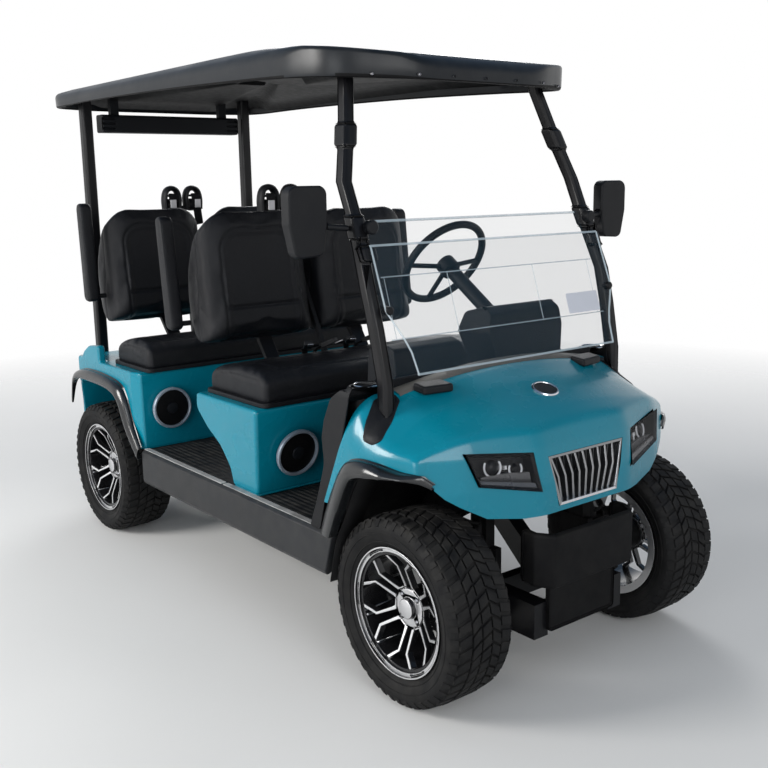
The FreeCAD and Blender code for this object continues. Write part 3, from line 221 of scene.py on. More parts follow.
# Patchy pale grey for the strips on the sill tops: partly a worn trim, partly a painted highlight along the sill.
TRIM_AND_HIGHLIGHT = surface("sill_trim_and_highlight", (0.30, 0.30, 0.30), 0.40, vary=0.5, patch=14.0, grain="rubber", dust=0.2)
LEDGE = surface("hood_seal", (0.11, 0.106, 0.096), 0.55, vary=0.18, patch=9.0, dust=0.1)
PANE = surface("clear_pane", (0.012, 0.050, 0.080), 0.05, vary=0.02, streak=0.02, grain="peel", strength=0.05,
               alpha=0.075)
# Pale strips for the panes' edges: painted highlights where the clear edges catch the light.
PANE_HIGHLIGHT = surface("painted_pane_highlight", (0.60, 0.70, 0.75), 0.25, patch=9.0, grain="peel", strength=0.2, alpha=0.45)
LAMP_COVER = surface("lamp_cover", (0.010, 0.012, 0.016), 0.05, vary=0.02, streak=0.02, grain="peel",
                     strength=0.05, alpha=0.12)
LAMP_BODY = surface("lamp_body", (0.006, 0.0065, 0.008), 0.3, grain="peel", strength=0.3, specular=0.2)
LAMP_SILVER = surface("lamp_silver", (0.17, 0.17, 0.175), 0.30, metal=0.6, vary=0.12, grain="peel", strength=0.3)
LAMP_GLOW = surface("lamp_light", (0.86, 0.87, 0.90), 0.2, vary=0.03, grain="peel", strength=0.1)
GLOSS = surface("alloy_black", (0.007, 0.007, 0.008), 0.25, coat=0.3, grain="peel", strength=0.2, specular=0.3)


def floor_finish():
    """A pale floor that thins out to the white background away from the cart."""
    made = surface("studio_floor", (0.74, 0.74, 0.73), 0.72, vary=0.02, patch=0.7, grain="rubber", strength=0.15)
    tree = made.node_tree
    place = node(tree, "ShaderNodeTexCoord").outputs["Object"]
    away = node(tree, "ShaderNodeVectorMath", {0: place}, operation="LENGTH").outputs["Value"]
    feed(tree, tree.nodes["Principled BSDF"].inputs["Alpha"], spread(tree, away, 1.0, 0.0, FLOOR_SOLID, FLOOR_END))
    return made


def alloy_finish():
    """Gloss black with machined silver on the faces that point outwards, by the wheel's own frame."""
    made = surface("alloy", (0.010, 0.010, 0.011), 0.22, coat=0.5, grain="peel", strength=0.2)
    tree = made.node_tree
    place = node(tree, "ShaderNodeTexCoord")
    outward = maths(tree, "ABSOLUTE", component(tree, place.outputs["Normal"], "X"))
    rough = spread(tree, noise(tree, place.outputs["Object"], 60.0, 6.0), 0.26, 0.40)
    silver = node(tree, "ShaderNodeBsdfPrincipled",
                  {"Base Color": ALLOY_SILVER, "Metallic": 0.85, "Roughness": rough})
    blend = node(tree, "ShaderNodeMixShader", {
        "Fac": spread(tree, outward, 0.0, 1.0, 0.890, 0.912),
        1: tree.nodes["Principled BSDF"].outputs[0],
        2: silver.outputs[0],
    })
    feed(tree, tree.nodes["Material Output"].inputs["Surface"], blend.outputs[0])
    return made


FLOOR = floor_finish()
ALLOY = alloy_finish()


# Shapes

MERGE_CAD = 2e-5
FLAT_ANGLE = 0.8


def linked(name, data):
    """A new object in the scene."""
    made = bpy.data.objects.new(name, data)
    bpy.context.scene.collection.objects.link(made)
    return made


def baked(made):
    """A new mesh of an object with its modifiers applied."""
    return bpy.data.meshes.new_from_object(made.evaluated_get(bpy.context.evaluated_depsgraph_get()))


def piece(name, mesh, finish, body="root", sharp=32.0, bevel=0.0, segments=2, replaces=()):
    """Links a mesh as a piece that rides on a body, shaded smooth up to an angle."""
    mesh.shade_smooth()
    if bevel == 0.0:
        mesh.set_sharp_from_angle(angle=math.radians(sharp))
    made = linked(name, mesh)
    numbers = np.zeros(len(mesh.polygons), np.int32)
    mesh.polygons.foreach_get("material_index", numbers)
    mesh.materials.clear()
    finishes = finish if isinstance(finish, list) else [finish]
    for one in finishes:
        mesh.materials.append(one)
    mesh.polygons.foreach_set("material_index", np.minimum(numbers, len(finishes) - 1))
    if bevel:
        rounding = made.modifiers.new("edges", "BEVEL")
        rounding.width = bevel
        rounding.segments = segments
        rounding.limit_method = "ANGLE"
        rounding.angle_limit = math.radians(sharp)
        rounding.use_clamp_overlap = False
        rounding.harden_normals = True
        rounding.miter_outer = "MITER_ARC"
    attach(made, body)
    if replaces:
        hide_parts(*replaces)
    return made


def reworked(mesh, *steps, into=None):
    """Runs bmesh steps on a mesh, in place or into another mesh."""
    work = bmesh.new()
    work.from_mesh(mesh)
    for step in steps:
        step(work)
    work.to_mesh(into or mesh)
    work.free()
    return into or mesh


def facing_out(work):
    bmesh.ops.recalc_face_normals(work, faces=work.faces)


def merged(distance):
    return lambda work: bmesh.ops.remove_doubles(work, verts=work.verts, dist=distance)


def flattened(work):
    bmesh.ops.dissolve_limit(work, angle_limit=math.radians(FLAT_ANGLE), verts=work.verts, edges=work.edges)


def capped(work, sides=0):
    bmesh.ops.holes_fill(work, edges=[e for e in work.edges if e.is_boundary], sides=sides)


def new_mesh(name, points, faces, merge=0.0):
    mesh = bpy.data.meshes.new(name)
    mesh.from_pydata([tuple(p) for p in points], [], faces)
    return reworked(mesh, *([merged(merge)] if merge else []), facing_out)


def joined(name, meshes):
    """One mesh made of several, each a (mesh, finish number) pair or a mesh alone."""
    work = bmesh.new()
    for item in meshes:
        mesh, finish = item if isinstance(item, tuple) else (item, None)
        first = len(work.faces)
        work.from_mesh(mesh)
        work.faces.ensure_lookup_table()
        for face in work.faces[first:] if finish is not None else []:
            face.material_index = finish
        bpy.data.meshes.remove(mesh)
    mesh = bpy.data.meshes.new(name)
    work.to_mesh(mesh)
    work.free()
    return mesh


def grid(name, rows, around=False, along=False, merge=0.0):
    """A mesh through a table of points; it may close around each row or along the rows."""
    table = np.asarray(rows, float)
    count, width = table.shape[:2]
    faces = []
    for i in range(count if along else count - 1):
        for j in range(width if around else width - 1):
            k, m = (i + 1) % count, (j + 1) % width
            faces.append((i * width + j, i * width + m, k * width + m, k * width + j))
    return new_mesh(name, table.reshape(-1, 3), faces, merge)


def spaced(line, count):
    """Evenly spaced points along a chain of points."""
    run = np.concatenate([[0], np.cumsum(np.linalg.norm(np.diff(line, axis=0), axis=1))])
    wanted = np.linspace(0, run[-1], count)
    return np.stack([np.interp(wanted, run, line[:, k]) for k in range(line.shape[1])], axis=1)


def smooth_line(points, count):
    """Evenly spaced points on a smooth curve through the given ones."""
    table = np.asarray(points, float)
    table = np.vstack([2 * table[0] - table[1], table, 2 * table[-1] - table[-2]])
    dense = []
    for a, b, c, d in zip(table[:-3], table[1:-2], table[2:-1], table[3:]):
        for share in np.linspace(0, 1, 24, endpoint=False):
            dense.append(0.5 * (2 * b + (c - a) * share + (2 * a - 5 * b + 4 * c - d) * share ** 2
                                + (3 * b - a - 3 * c + d) * share ** 3))
    dense.append(table[-2])
    return spaced(np.array(dense), count)


def extruded(name, outline, start, way, depth):
    """A closed outline of 3-D points pushed along a direction from start to start + depth."""
    count = len(outline)
    low = [Vector(p) + Vector(way) * start for p in outline]
    high = [p + Vector(way) * depth for p in low]
    faces = [tuple(range(count)), tuple(range(2 * count - 1, count - 1, -1))]
    faces += [(i, (i + 1) % count, count + (i + 1) % count, count + i) for i in range(count)]
    return new_mesh(name, low + high, faces)


def raised(name, outline, height):
    """A closed outline of 3-D points pushed straight up."""
    return extruded(name, outline, 0.0, (0, 0, 1), height)


def box_mesh(name, low, high):
    low, high = Vector(low), Vector(high)
    outline = [(low.x, low.y, low.z), (high.x, low.y, low.z), (high.x, high.y, low.z), (low.x, high.y, low.z)]
    return raised(name, outline, high.z - low.z)


def lathe(name, profile, around=64, centre=(0, 0, 0), axis="X", closed=False):
    """Turns (distance along the axis, radius) points about an axis through the centre."""
    turn = np.linspace(0, 2 * math.pi, around, endpoint=False)
    rows = []
    for along, radius in profile:
        ring = np.stack([np.full(around, along), radius * np.cos(turn), radius * np.sin(turn)], axis=1)
        rows.append(ring[:, {"X": (0, 1, 2), "Y": (1, 0, 2), "Z": (1, 2, 0)}[axis]] + np.array(centre))
    return grid(name, rows, around=True, along=closed, merge=1e-6)


def tube(name, path, radius, sides=10, flat=1.0, side_way=None):
    """A round or flattened bar along a path, with closed ends."""
    points = np.asarray(path, float)
    rows = []
    normal = Vector(side_way) if side_way else None
    for i, point in enumerate(points):
        way = Vector(points[min(i + 1, len(points) - 1)] - points[max(i - 1, 0)]).normalized()
        if normal is None:
            normal = way.orthogonal().normalized()
        normal = (normal - way * normal.dot(way)).normalized()
        other = way.cross(normal)
        rows.append([Vector(point) + normal * (radius * math.cos(t)) + other * (radius * flat * math.sin(t))
                     for t in np.linspace(0, 2 * math.pi, sides, endpoint=False)])
    return reworked(grid(name, rows, around=True), lambda work: capped(work, sides))


def flipped(mesh):
    """A copy of a mesh mirrored across the middle of the cart."""
    copy = mesh.copy()
    copy.transform(Matrix.Diagonal((-1, 1, 1, 1)))
    copy.flip_normals()
    return copy


def both_sides(mesh):
    return joined(mesh.name, [flipped(mesh), mesh])


def cleaned(nodename):
    """The mesh of a CAD node with its triangles merged back into flat faces."""
    mesh = reworked(frame["nodes"][nodename].data, merged(MERGE_CAD), flattened,
                    into=bpy.data.meshes.new(nodename + "_shape"))
    for name in [a.name for a in mesh.attributes if a.name == "custom_normal"]:
        mesh.attributes.remove(mesh.attributes[name])
    return mesh


def dressed(nodename, finish, bevel, sharp):
    """A CAD node's form with softened edges and its own finish, in the node's place."""
    return piece(nodename + "_dressed", cleaned(nodename), finish, frame["nodes"][nodename]["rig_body"],
                 sharp, bevel, 2, [nodename])


def cut(mesh, cutters, name):
    """Takes the cutters' volume out of a closed mesh."""
    target, tool = linked(name + "_work", mesh), linked(name + "_tool", joined(name + "_tool", cutters))
    step = target.modifiers.new("cut", "BOOLEAN")
    step.operation = "DIFFERENCE"
    step.solver = "EXACT"
    step.use_self = True
    step.object = tool
    made = baked(target)
    made.name = name
    bpy.data.objects.remove(target)
    bpy.data.objects.remove(tool)
    return made


# Painted front body

# y, crown z, crease x and z, shoulder x and z, flank x and z
COWL_SECTIONS = np.array([
    (-0.265, 0.776, 0.428, 0.748, 0.540, 0.700, 0.570, 0.640),
    (-0.120, 0.846, 0.432, 0.799, 0.558, 0.742, 0.596, 0.690),
    (0.020, 0.903, 0.446, 0.846, 0.588, 0.768, 0.600, 0.725),
    (0.100, 0.930, 0.452, 0.886, 0.584, 0.802, 0.600, 0.765),
    (0.165, 0.948, 0.456, 0.908, 0.538, 0.904, 0.600, 0.800),
    (0.360, 0.960, 0.456, 0.915, 0.538, 0.908, 0.600, 0.800),
])
NOSE_PLAN = [(0.192, -0.226), (0.432, -0.152), (0.552, -0.086), (0.602, 0.060)]
NOSE_LEAN = [(0.300, 0.0), (0.650, 0.0), (0.750, 0.014), (0.800, 0.034), (1.000, 0.180)]
FRONT_ARCH = [(-0.106, 0.673), (-0.090, 0.690), (-0.037, 0.694), (0.039, 0.688), (0.110, 0.674), (0.144, 0.645),
              (0.208, 0.525), (0.255, 0.433), (0.290, 0.300)]
NOSE_EDGE = [(0.180, 0.546), (0.369, 0.572), (0.447, 0.615), (0.485, 0.641), (0.515, 0.673), (0.620, 0.728)]
SHIELD_LINE = [(0.165, 0.930), (0.170, 0.890), (0.206, 0.770), (0.302, 0.562), (0.330, 0.470)]
LAMP = [(0.218, -0.201, 0.745), (0.430, -0.144, 0.766), (0.395, -0.173, 0.670), (0.203, -0.228, 0.631)]
GRILLE = [(0.167, -0.210, 0.726), (0.129, -0.225, 0.573)]
LAMP_DEPTH = -0.030
PAINT_BOTTOM = 0.556
LIP_BAND = 0.018
LIP_FRONT = 0.03
LIP_INNER = 0.45
LINER_X = 0.205
STEER_ROOM = 0.30
SHEET = 0.003
PANEL = 0.005
CREASE_BLEND = 0.008
FENDER_BLEND = 0.034
NOSE_BLEND = 0.010
PLAN_BLEND = 0.008


def merge_highest(a, b, blend):
    """The larger of two values, rounded where they meet."""
    reach = np.maximum(blend - np.abs(a - b), 0.0)
    return np.maximum(a, b) + reach * reach / (4 * blend)


def beyond_line(x, z, a, b):
    """Distance outside the line from a to b, in the plane of a section."""
    dx, dz = b[0] - a[0], b[1] - a[1]
    length = np.hypot(dx, dz)
    return ((z - a[1]) * dx - (x - a[0]) * dz) / length


def outside_cowl(points):
    """How far each point lies outside the front body, with its creases rounded."""
    x, y, z = np.abs(points[:, 0]), points[:, 1], points[:, 2]
    crown, cx, cz, sx, sz, fx, fz = [np.interp(y, COWL_SECTIONS[:, 0], COWL_SECTIONS[:, k]) for k in range(1, 8)]
    hood = (z - crown + (crown - cz) * np.clip(x / cx, 0, 1.3) ** 2.1) * 0.97
    found = merge_highest(hood, beyond_line(x, z, (cx, cz), (sx, sz)), CREASE_BLEND)
    found = merge_highest(found, beyond_line(x, z, (sx, sz), (fx, fz)), FENDER_BLEND)
    found = merge_highest(found, x - fx, FENDER_BLEND)
    heights, leans = zip(*NOSE_LEAN)
    y = y - np.interp(z, heights, leans)
    nose = NOSE_PLAN[0][1] - y
    for a, b in zip(NOSE_PLAN, NOSE_PLAN[1:]):
        dx, dy = b[0] - a[0], b[1] - a[1]
        nose = merge_highest(nose, ((x - a[0]) * dy - (y - a[1]) * dx) / np.hypot(dx, dy), PLAN_BLEND)
    return merge_highest(found, nose * 0.96, NOSE_BLEND)


def cowl_skin():
    """The painted surface, found along rays from a line inside the body to a box round it."""
    step, core_half, core_y, core_z = 0.011, 0.38, 0.26, 0.58
    xs = np.linspace(-0.62, 0.62, int(1.24 / step))
    ys = np.linspace(-0.25, 0.37, int(0.62 / step))
    zs = np.linspace(0.42, 0.97, int(0.55 / step))
    sheets = [
        np.array([[(x, y, zs[-1]) for x in xs] for y in ys]),
        np.array([[(x, ys[0], z) for x in xs] for z in zs]),
        np.array([[(xs[0], y, z) for y in ys] for z in zs]),
        np.array([[(xs[-1], y, z) for y in ys] for z in zs]),
    ]
    meshes = []
    for sheet in sheets:
        flat = sheet.reshape(-1, 3)
        core = np.column_stack([np.clip(flat[:, 0], -core_half, core_half), np.full(len(flat), core_y),
                                np.full(len(flat), core_z)])
        low, high = np.zeros(len(flat)), np.full(len(flat), 1.6)
        for _ in range(26):
            middle = (low + high) / 2
            out = outside_cowl(core + (flat - core) * middle[:, None]) > 0
            high, low = np.where(out, middle, high), np.where(out, low, middle)
        found = (core + (flat - core) * high[:, None]).reshape(sheet.shape)
        meshes.append(grid("sheet", found + np.array([0, FRONT_AXLE, 0])))
    return joined("front_body", meshes)


def side_prism(outline, low, high, name="tool"):
    """Everything between two widths within an outline of (y, z) points."""
    return extruded(name, [at(low, y, z) for y, z in outline], 0.0, (1, 0, 0), high - low)


def lamp_frame():
    """Centre, outward normal and corners of the right-hand lamp's flat face."""
    corners = [Vector(p) for p in LAMP]
    normal = (corners[1] - corners[3]).cross(corners[0] - corners[2]).normalized()
    if normal.y > 0:
        normal = -normal
    centre = sum(corners, Vector()) / 4
    flat = [p - normal * (p - centre).dot(normal) for p in corners]
    move = Vector((0, FRONT_AXLE, 0))
    return centre + move, normal, [p + move for p in flat]


def grown(corners, by):
    centre = sum(corners, Vector()) / len(corners)
    return [p + (p - centre).normalized() * by for p in corners]


def grille_frame():
    top, foot = Vector(GRILLE[0]), Vector(GRILLE[1])
    up = Vector((0, top.y - foot.y, top.z - foot.z))
    corners = [at(-foot.x, foot.y, foot.z), at(foot.x, foot.y, foot.z), at(top.x, top.y, top.z),
               at(-top.x, top.y, top.z)]
    return corners, up.normalized(), Vector((1, 0, 0)).cross(up.normalized())


def upward(work):
    if sum(face.normal.z for face in work.faces) < 0:
        bmesh.ops.reverse_faces(work, faces=work.faces)


def front_body():
    made = linked("skin_work", reworked(cowl_skin(), merged(1e-4), facing_out, upward))
    wall = made.modifiers.new("wall", "SOLIDIFY")
    wall.thickness = PANEL
    wall.offset = -1
    shell = baked(made)
    bpy.data.objects.remove(made)
    start = FRONT_ARCH[0]
    arch = [tuple(p) for p in smooth_line(FRONT_ARCH[1:-1], 26)]
    arch = [(start[0], 0.250), start] + arch + [(0.290, 0.300), (0.292, 0.250)]
    edge = NOSE_EDGE + [(0.62, 0.20), (0.180, 0.20)]
    nose = extruded("tool", [at(x, -0.40, z) for x, z in edge], 0.0, (0, 1, 0), 0.401 + start[0])
    behind = side_prism([(0.165, 1.1)] + SHIELD_LINE + [(0.330, 0.20), (0.60, 0.20), (0.60, 1.1)], -0.8, 0.8)
    middle = box_mesh("tool", at(-0.4603, 0.165, 0.2), at(0.4603, 0.7, 1.2))
    below = box_mesh("tool", at(-0.9, -0.6, 0.1), at(0.9, 0.8, PAINT_BOTTOM))
    _, normal, corners = lamp_frame()
    lamp = extruded("tool", grown(corners, 0.0015), -0.07, normal, 0.14)
    corners, _, out = grille_frame()
    mouth = extruded("tool", grown(corners, 0.001), -0.07, out, 0.14)
    arches = side_prism(arch, 0.262, 0.9)
    for cutter in (behind, middle, below, both_sides(arches), both_sides(nose), both_sides(lamp), mouth):
        shell = cut(shell, [cutter], "front_body")
    spots = np.array([face.center for face in shell.polygons]) - [0, FRONT_AXLE, 0]
    lip = smooth_line(FRONT_ARCH, 90)
    to_lip = np.min(np.hypot(spots[:, 1, None] - lip[:, 0], spots[:, 2, None] - lip[:, 1]), axis=1)
    on_lip = (to_lip <= LIP_BAND) & (np.abs(spots[:, 0]) >= LIP_INNER) & (spots[:, 1] >= LIP_FRONT)
    # Faces within 1.5 mm of the painted surface are teal; faces inside the shell, its cut edges and a band along each
    # front arch lip take the under finish, whose extra darkness is painted shade.
    for face, teal in zip(shell.polygons, (outside_cowl(spots) > -0.0015) & ~on_lip):
        face.material_index = 0 if teal else 1
    piece("front_body", shell, [TEAL, SHADED_UNDER], "root", 30.0, replaces=["front_cowl"])


def plan_half_width(y):
    """How far the nose reaches to the side at a distance from the front axle."""
    widths, places = zip(*NOSE_PLAN)
    return np.interp(y, places, widths)


def arch_liner():
    """A black housing over the wheel that leaves room for it to steer, with its inner wall."""
    line = smooth_line(FRONT_ARCH, 40)
    deep = line.copy()
    deep[:, 0] *= 1 + STEER_ROOM * np.clip(line[:, 0] / 0.14, 0, 1)
    edge_x = [min(0.597, plan_half_width(y) - 0.006) for y, z in line]
    middle = np.array([0.06, 0.500])
    wall = [
        [at(x, y, z) for x, (y, z) in zip(edge_x, line)],
        [at(min(x, 0.520), y, z) for x, (y, z) in zip(edge_x, line)],
        [at(min(x, 0.455), y, z) for x, (y, z) in zip(edge_x, deep)],
        [at(LINER_X, y, z) for y, z in deep],
    ]
    inner = [[at(LINER_X, *(middle + (point - middle) * share)) for point in deep]
             for share in (1.0, 0.6, 0.2, 0.0)]
    mesh = joined("liner", [grid("wall", wall), grid("inner", inner)])
    made = piece("front_arch_liners", both_sides(mesh), SHADED_UNDER, "root", 50.0)
    made.modifiers.new("wall", "SOLIDIFY").thickness = SHEET


BADGE_Y = -0.045
BADGE_OVAL = 0.86


def seated(spot, normal):
    """The move that sets a shape drawn along Z on a spot, looking along its normal."""
    return Matrix.Translation(spot) @ normal.to_track_quat("Z", "Y").to_matrix().to_4x4()


def badge():
    """A blank oval badge: a dark dished face in a bright rim, lying on the hood."""
    here, ahead = surface_point(0.0, BADGE_Y), surface_point(0.0, BADGE_Y - 0.01)
    normal = Vector((1, 0, 0)).cross((here - ahead).normalized())
    if normal.z < 0:
        normal = -normal
    section = [(-0.004, 0.0), (-0.004, 0.046), (0.002, 0.047), (0.0055, 0.044), (0.0055, 0.0405), (0.0035, 0.039)]
    rim = lathe("rim", section, 72, axis="Z")
    face = lathe("face", [(0.0036, 0.039), (0.0040, 0.022), (0.0046, 0.0)], 72, axis="Z")
    mesh = joined("badge", [(rim, 0), (face, 1)])
    mesh.transform(seated(here, normal) @ Matrix.Diagonal((1.0, BADGE_OVAL, 1.0, 1.0)))
    piece("hood_badge", mesh, [CHROME, DASH], "root", 40.0)


def on_cowl(point, axis, low, high):
    """A point moved along an axis onto the painted surface, in the part's frame."""
    spot = np.array([point], float)
    for _ in range(30):
        spot[0, axis] = (low + high) / 2
        if outside_cowl(spot)[0] > 0:
            high = spot[0, axis]
        else:
            low = spot[0, axis]
    spot[0, axis] = high
    return at(*spot[0])


def surface_point(x, y):
    return on_cowl((x, y, 0.0), 2, 0.5, 1.1)


def side_point(y, z):
    return on_cowl((0.0, y, z), 0, 0.2, 0.7)


def headlamps():
    """Dark recessed lamps with two projector rings, a silver foot and a clear cover."""
    _, normal, corners = lamp_frame()

    def spot(u, v, depth):
        low = corners[3].lerp(corners[2], u)
        high = corners[0].lerp(corners[1], u)
        return low.lerp(high, v) + normal * depth

    rim_in = [spot(u, v, -0.004) for u, v in ((0.04, 0.09), (0.96, 0.09), (0.96, 0.93), (0.04, 0.93))]
    rim_out = [spot(u, v, 0.0025) for u, v in ((0.0, 0.0), (1.0, 0.0), (1.0, 1.0), (0.0, 1.0))]
    back = [spot(u, v, -0.038) for u, v in ((0.07, 0.14), (0.93, 0.14), (0.93, 0.88), (0.07, 0.88))]
    parts = [(grid("bezel", [rim_out, rim_in, back], around=True), 0), (new_mesh("floor", back, [(0, 1, 2, 3)]), 0)]
    foot = [spot(0.08, 0.13, -0.034), spot(0.92, 0.13, -0.034), spot(0.90, 0.30, -0.020), spot(0.45, 0.46, -0.020),
            spot(0.10, 0.50, -0.020)]
    parts.append((extruded("foot", foot, 0.0, normal, 0.010), 1))
    lip = [spot(0.06, 0.10, -0.006), spot(0.95, 0.10, -0.006), spot(0.95, 0.19, -0.010), spot(0.06, 0.22, -0.010)]
    parts.append((extruded("lip", lip, -0.006, normal, 0.008), 1))
    for u, v, radius in ((0.62, 0.60, 0.027), (0.27, 0.57, 0.021)):
        arc = [Vector((radius * math.cos(turn), radius * math.sin(turn), 0.006))
               for turn in np.radians(np.linspace(-215, 35, 36))]
        ring = tube("ring", arc, 0.0032, 8)
        glass = lathe("glass", [(0.0, radius - 0.005), (0.006, radius - 0.009), (0.011, 0.008), (0.012, 0.0)], 40,
                      axis="Z")
        for mesh, finish in ((ring, 2), (glass, 0)):
            mesh.transform(seated(spot(u, v, LAMP_DEPTH), normal))
            parts.append((mesh, finish))
    for k in range(4):
        lens = box_mesh("lens", (-0.0055, -0.0055, 0), (0.0055, 0.0055, 0.005))
        lens.transform(seated(spot(0.42 + 0.035 * k, 0.60, LAMP_DEPTH), normal))
        parts.append((lens, 2 if k == 0 else 1))
    piece("lamp_units", both_sides(joined("lamp_units", parts)), [LAMP_BODY, LAMP_SILVER, LAMP_GLOW], "root",
          35.0, replaces=["headlamps"])
    cover = both_sides(extruded("lamp_covers", grown(corners, -0.004), -0.001, normal, 0.0025))
    piece("lamp_covers", cover, LAMP_COVER, "root", 40.0)


# Roof

def roof_outline(inset, count=160):
    """The roof's edge in plan as (x, y), rounded more in front than behind."""
    half, front, back = 0.543 - inset, 0.222 + inset, REAR_END - inset
    corners = [(0.0, front), (half - 0.293, front), (half - 0.043, front + 0.108), (half, front + 0.298),
               (half, back - 0.172), (half - 0.028, back - 0.062), (half - 0.223, back), (0.0, back)]
    radii = [0, 0.30, 0.20, 0.30, 0.20, 0.09, 0.20, 0]
    line = []
    for i, (point, radius) in enumerate(zip(corners, radii)):
        if not radius:
            line.append(np.array(point))
            continue
        here = np.array(point)
        to_last, to_next = np.array(corners[i - 1]) - here, np.array(corners[i + 1]) - here
        turn = math.acos(np.dot(to_last, to_next) / np.linalg.norm(to_last) / np.linalg.norm(to_next))
        reach = min(radius / math.tan(turn / 2), 0.48 * min(np.linalg.norm(to_last), np.linalg.norm(to_next)))
        start = here + to_last / np.linalg.norm(to_last) * reach
        stop = here + to_next / np.linalg.norm(to_next) * reach
        for share in np.linspace(0, 1, 9):
            line.append((1 - share) ** 2 * start + 2 * share * (1 - share) * here + share ** 2 * stop)
    half_line = spaced(np.array(line), count // 2 + 1)
    return np.vstack([half_line, (half_line * [-1, 1])[-2:0:-1]])


ROOF_MIDDLE = 1.39
ROOF_TOP = [(0.222, 1.852), (0.240, 1.874), (0.282, 1.892), (0.525, 1.920), (1.131, 1.962), (1.597, 1.974),
            (2.086, 1.968), (2.319, 1.950), (2.492, 1.922), (2.535, 1.906), (2.552, 1.890)]
ROOF_CROWN = [(0.0, 1.974), (0.337, 1.962), (0.487, 1.938), (0.530, 1.914), (0.543, 1.892)]
ROOF_LIP = [(0.222, 1.810), (0.688, 1.834), (1.294, 1.855), (1.993, 1.866), (2.552, 1.864)]


def curve_at(table, value):
    line = smooth_line(table, 120)
    return np.interp(value, line[:, 0], line[:, 1])


def roof_height(x, y):
    return -merge_highest(-curve_at(ROOF_TOP, y), -curve_at(ROOF_CROWN, np.abs(x)), 0.012)


def roof():
    """A hollow moulded roof: crowned top, rounded shoulder, upright lip and ribbed underside."""
    centre = np.array([0.0, ROOF_MIDDLE])
    edge = roof_outline(0.0)
    rows = []

    def ring(line, height):
        return np.column_stack([line[:, 0], line[:, 1] + FRONT_AXLE, height])

    for share in (0.12, 0.3, 0.5, 0.68, 0.82, 0.92, 0.97):
        line = centre + (edge - centre) * share
        rows.append(ring(line, roof_height(line[:, 0], line[:, 1])))
    lip = curve_at(ROOF_LIP, edge[:, 1])
    shoulder = roof_height(edge[:, 0], edge[:, 1])
    for inset, drop in ((0.010, 0.0), (0.004, 0.002), (0.001, 0.006), (0.0, 0.013)):
        line = roof_outline(inset)
        rows.append(ring(line, roof_height(line[:, 0], line[:, 1]) - drop))
    for inset, share in ((0.0005, 0.6), (0.001, 0.15), (0.003, 0.03), (0.006, 0.0)):
        line = roof_outline(inset)
        rows.append(ring(line, lip + (shoulder - 0.013 - lip) * share))
    for inset, rise in ((0.014, 0.0), (0.017, 0.006), (0.020, 0.030)):
        line = roof_outline(inset)
        rows.append(ring(line, lip + rise))
    under = np.minimum(roof_height(edge[:, 0], edge[:, 1]) - 0.018, lip + 0.055)
    for share in (0.94, 0.90, 0.7, 0.45, 0.2):
        line = centre + (edge - centre) * share
        rise = 0.018 if share < 0.92 else 0.0
        height = np.minimum(under + 0.75 * (1 - share) * 0.05 + rise, roof_height(line[:, 0], line[:, 1]) - 0.010)
        rows.append(ring(line, height))
    mesh = reworked(grid("roof_shell", rows, around=True), capped, facing_out)
    # Faces that point down take the under finish: painted shade on the roof's underside.
    for face in mesh.polygons:
        face.material_index = 1 if face.normal.z < -0.3 else 0
    piece("roof_shell", mesh, [ROOF, SHADED_UNDER], "root", 38.0, replaces=["roof"])
    screws = []
    for x in np.linspace(-0.40, 0.40, 7):
        spot = at(x, 0.226 + max(0.0, abs(x) - 0.25) * 0.42, float(curve_at(ROOF_LIP, 0.25)) + 0.012)
        screws.append(lathe("screw", [(0.004, 0.0), (0.003, 0.0045), (-0.003, 0.0045)], 16, spot, "Y"))
        screws[-1].transform(Matrix.Translation((0, -0.006, 0)))
    piece("roof_screws", joined("roof_screws", screws), STEEL, "root", 40.0)


# Wheel opening lips

# Each line runs round the opening as (y, z): along the body, and along the outer edge. The plan
# tables give how far out the lip stands by y.
FLARES = {
    "front_flares": (
        [(-0.109, 0.688), (-0.100, 0.702), (-0.088, 0.715), (-0.031, 0.719), (0.057, 0.735), (0.136, 0.728),
         (0.187, 0.698), (0.258, 0.590), (0.308, 0.480), (0.316, 0.462)],
        [(-0.107, 0.675), (-0.098, 0.687), (-0.085, 0.696), (-0.037, 0.702), (0.039, 0.696), (0.112, 0.682),
         (0.150, 0.650), (0.214, 0.530), (0.248, 0.462)],
        [(-0.112, 0.514), (-0.090, 0.560), (-0.055, 0.600), (0.000, 0.628), (0.060, 0.6375), (0.200, 0.6375),
         (0.340, 0.621)],
    ),
    "rear_flares": (
        [(1.606, 0.470), (1.663, 0.560), (1.718, 0.672), (1.786, 0.716), (1.988, 0.732), (2.158, 0.722),
         (2.263, 0.672), (2.330, 0.580)],
        [(1.614, 0.421), (1.697, 0.534), (1.752, 0.645), (1.830, 0.680), (1.988, 0.690), (2.176, 0.684),
         (2.256, 0.646), (2.316, 0.545)],
        [(1.578, 0.619), (1.768, 0.6375), (2.198, 0.6375), (2.348, 0.6015)],
    ),
}
LIP_SECTION = [
    # share of the way out to the edge, share of the way from the body line to the edge line
    (-0.06, 0.02), (0.00, -0.01), (0.06, 0.04), (0.14, 0.11), (0.22, 0.08), (0.34, 0.04), (0.58, 0.12), (0.80, 0.30),
    (0.94, 0.54), (1.00, 0.78), (0.99, 0.94), (0.92, 1.04), (0.78, 1.07), (0.50, 1.06), (0.0, 1.06),
]


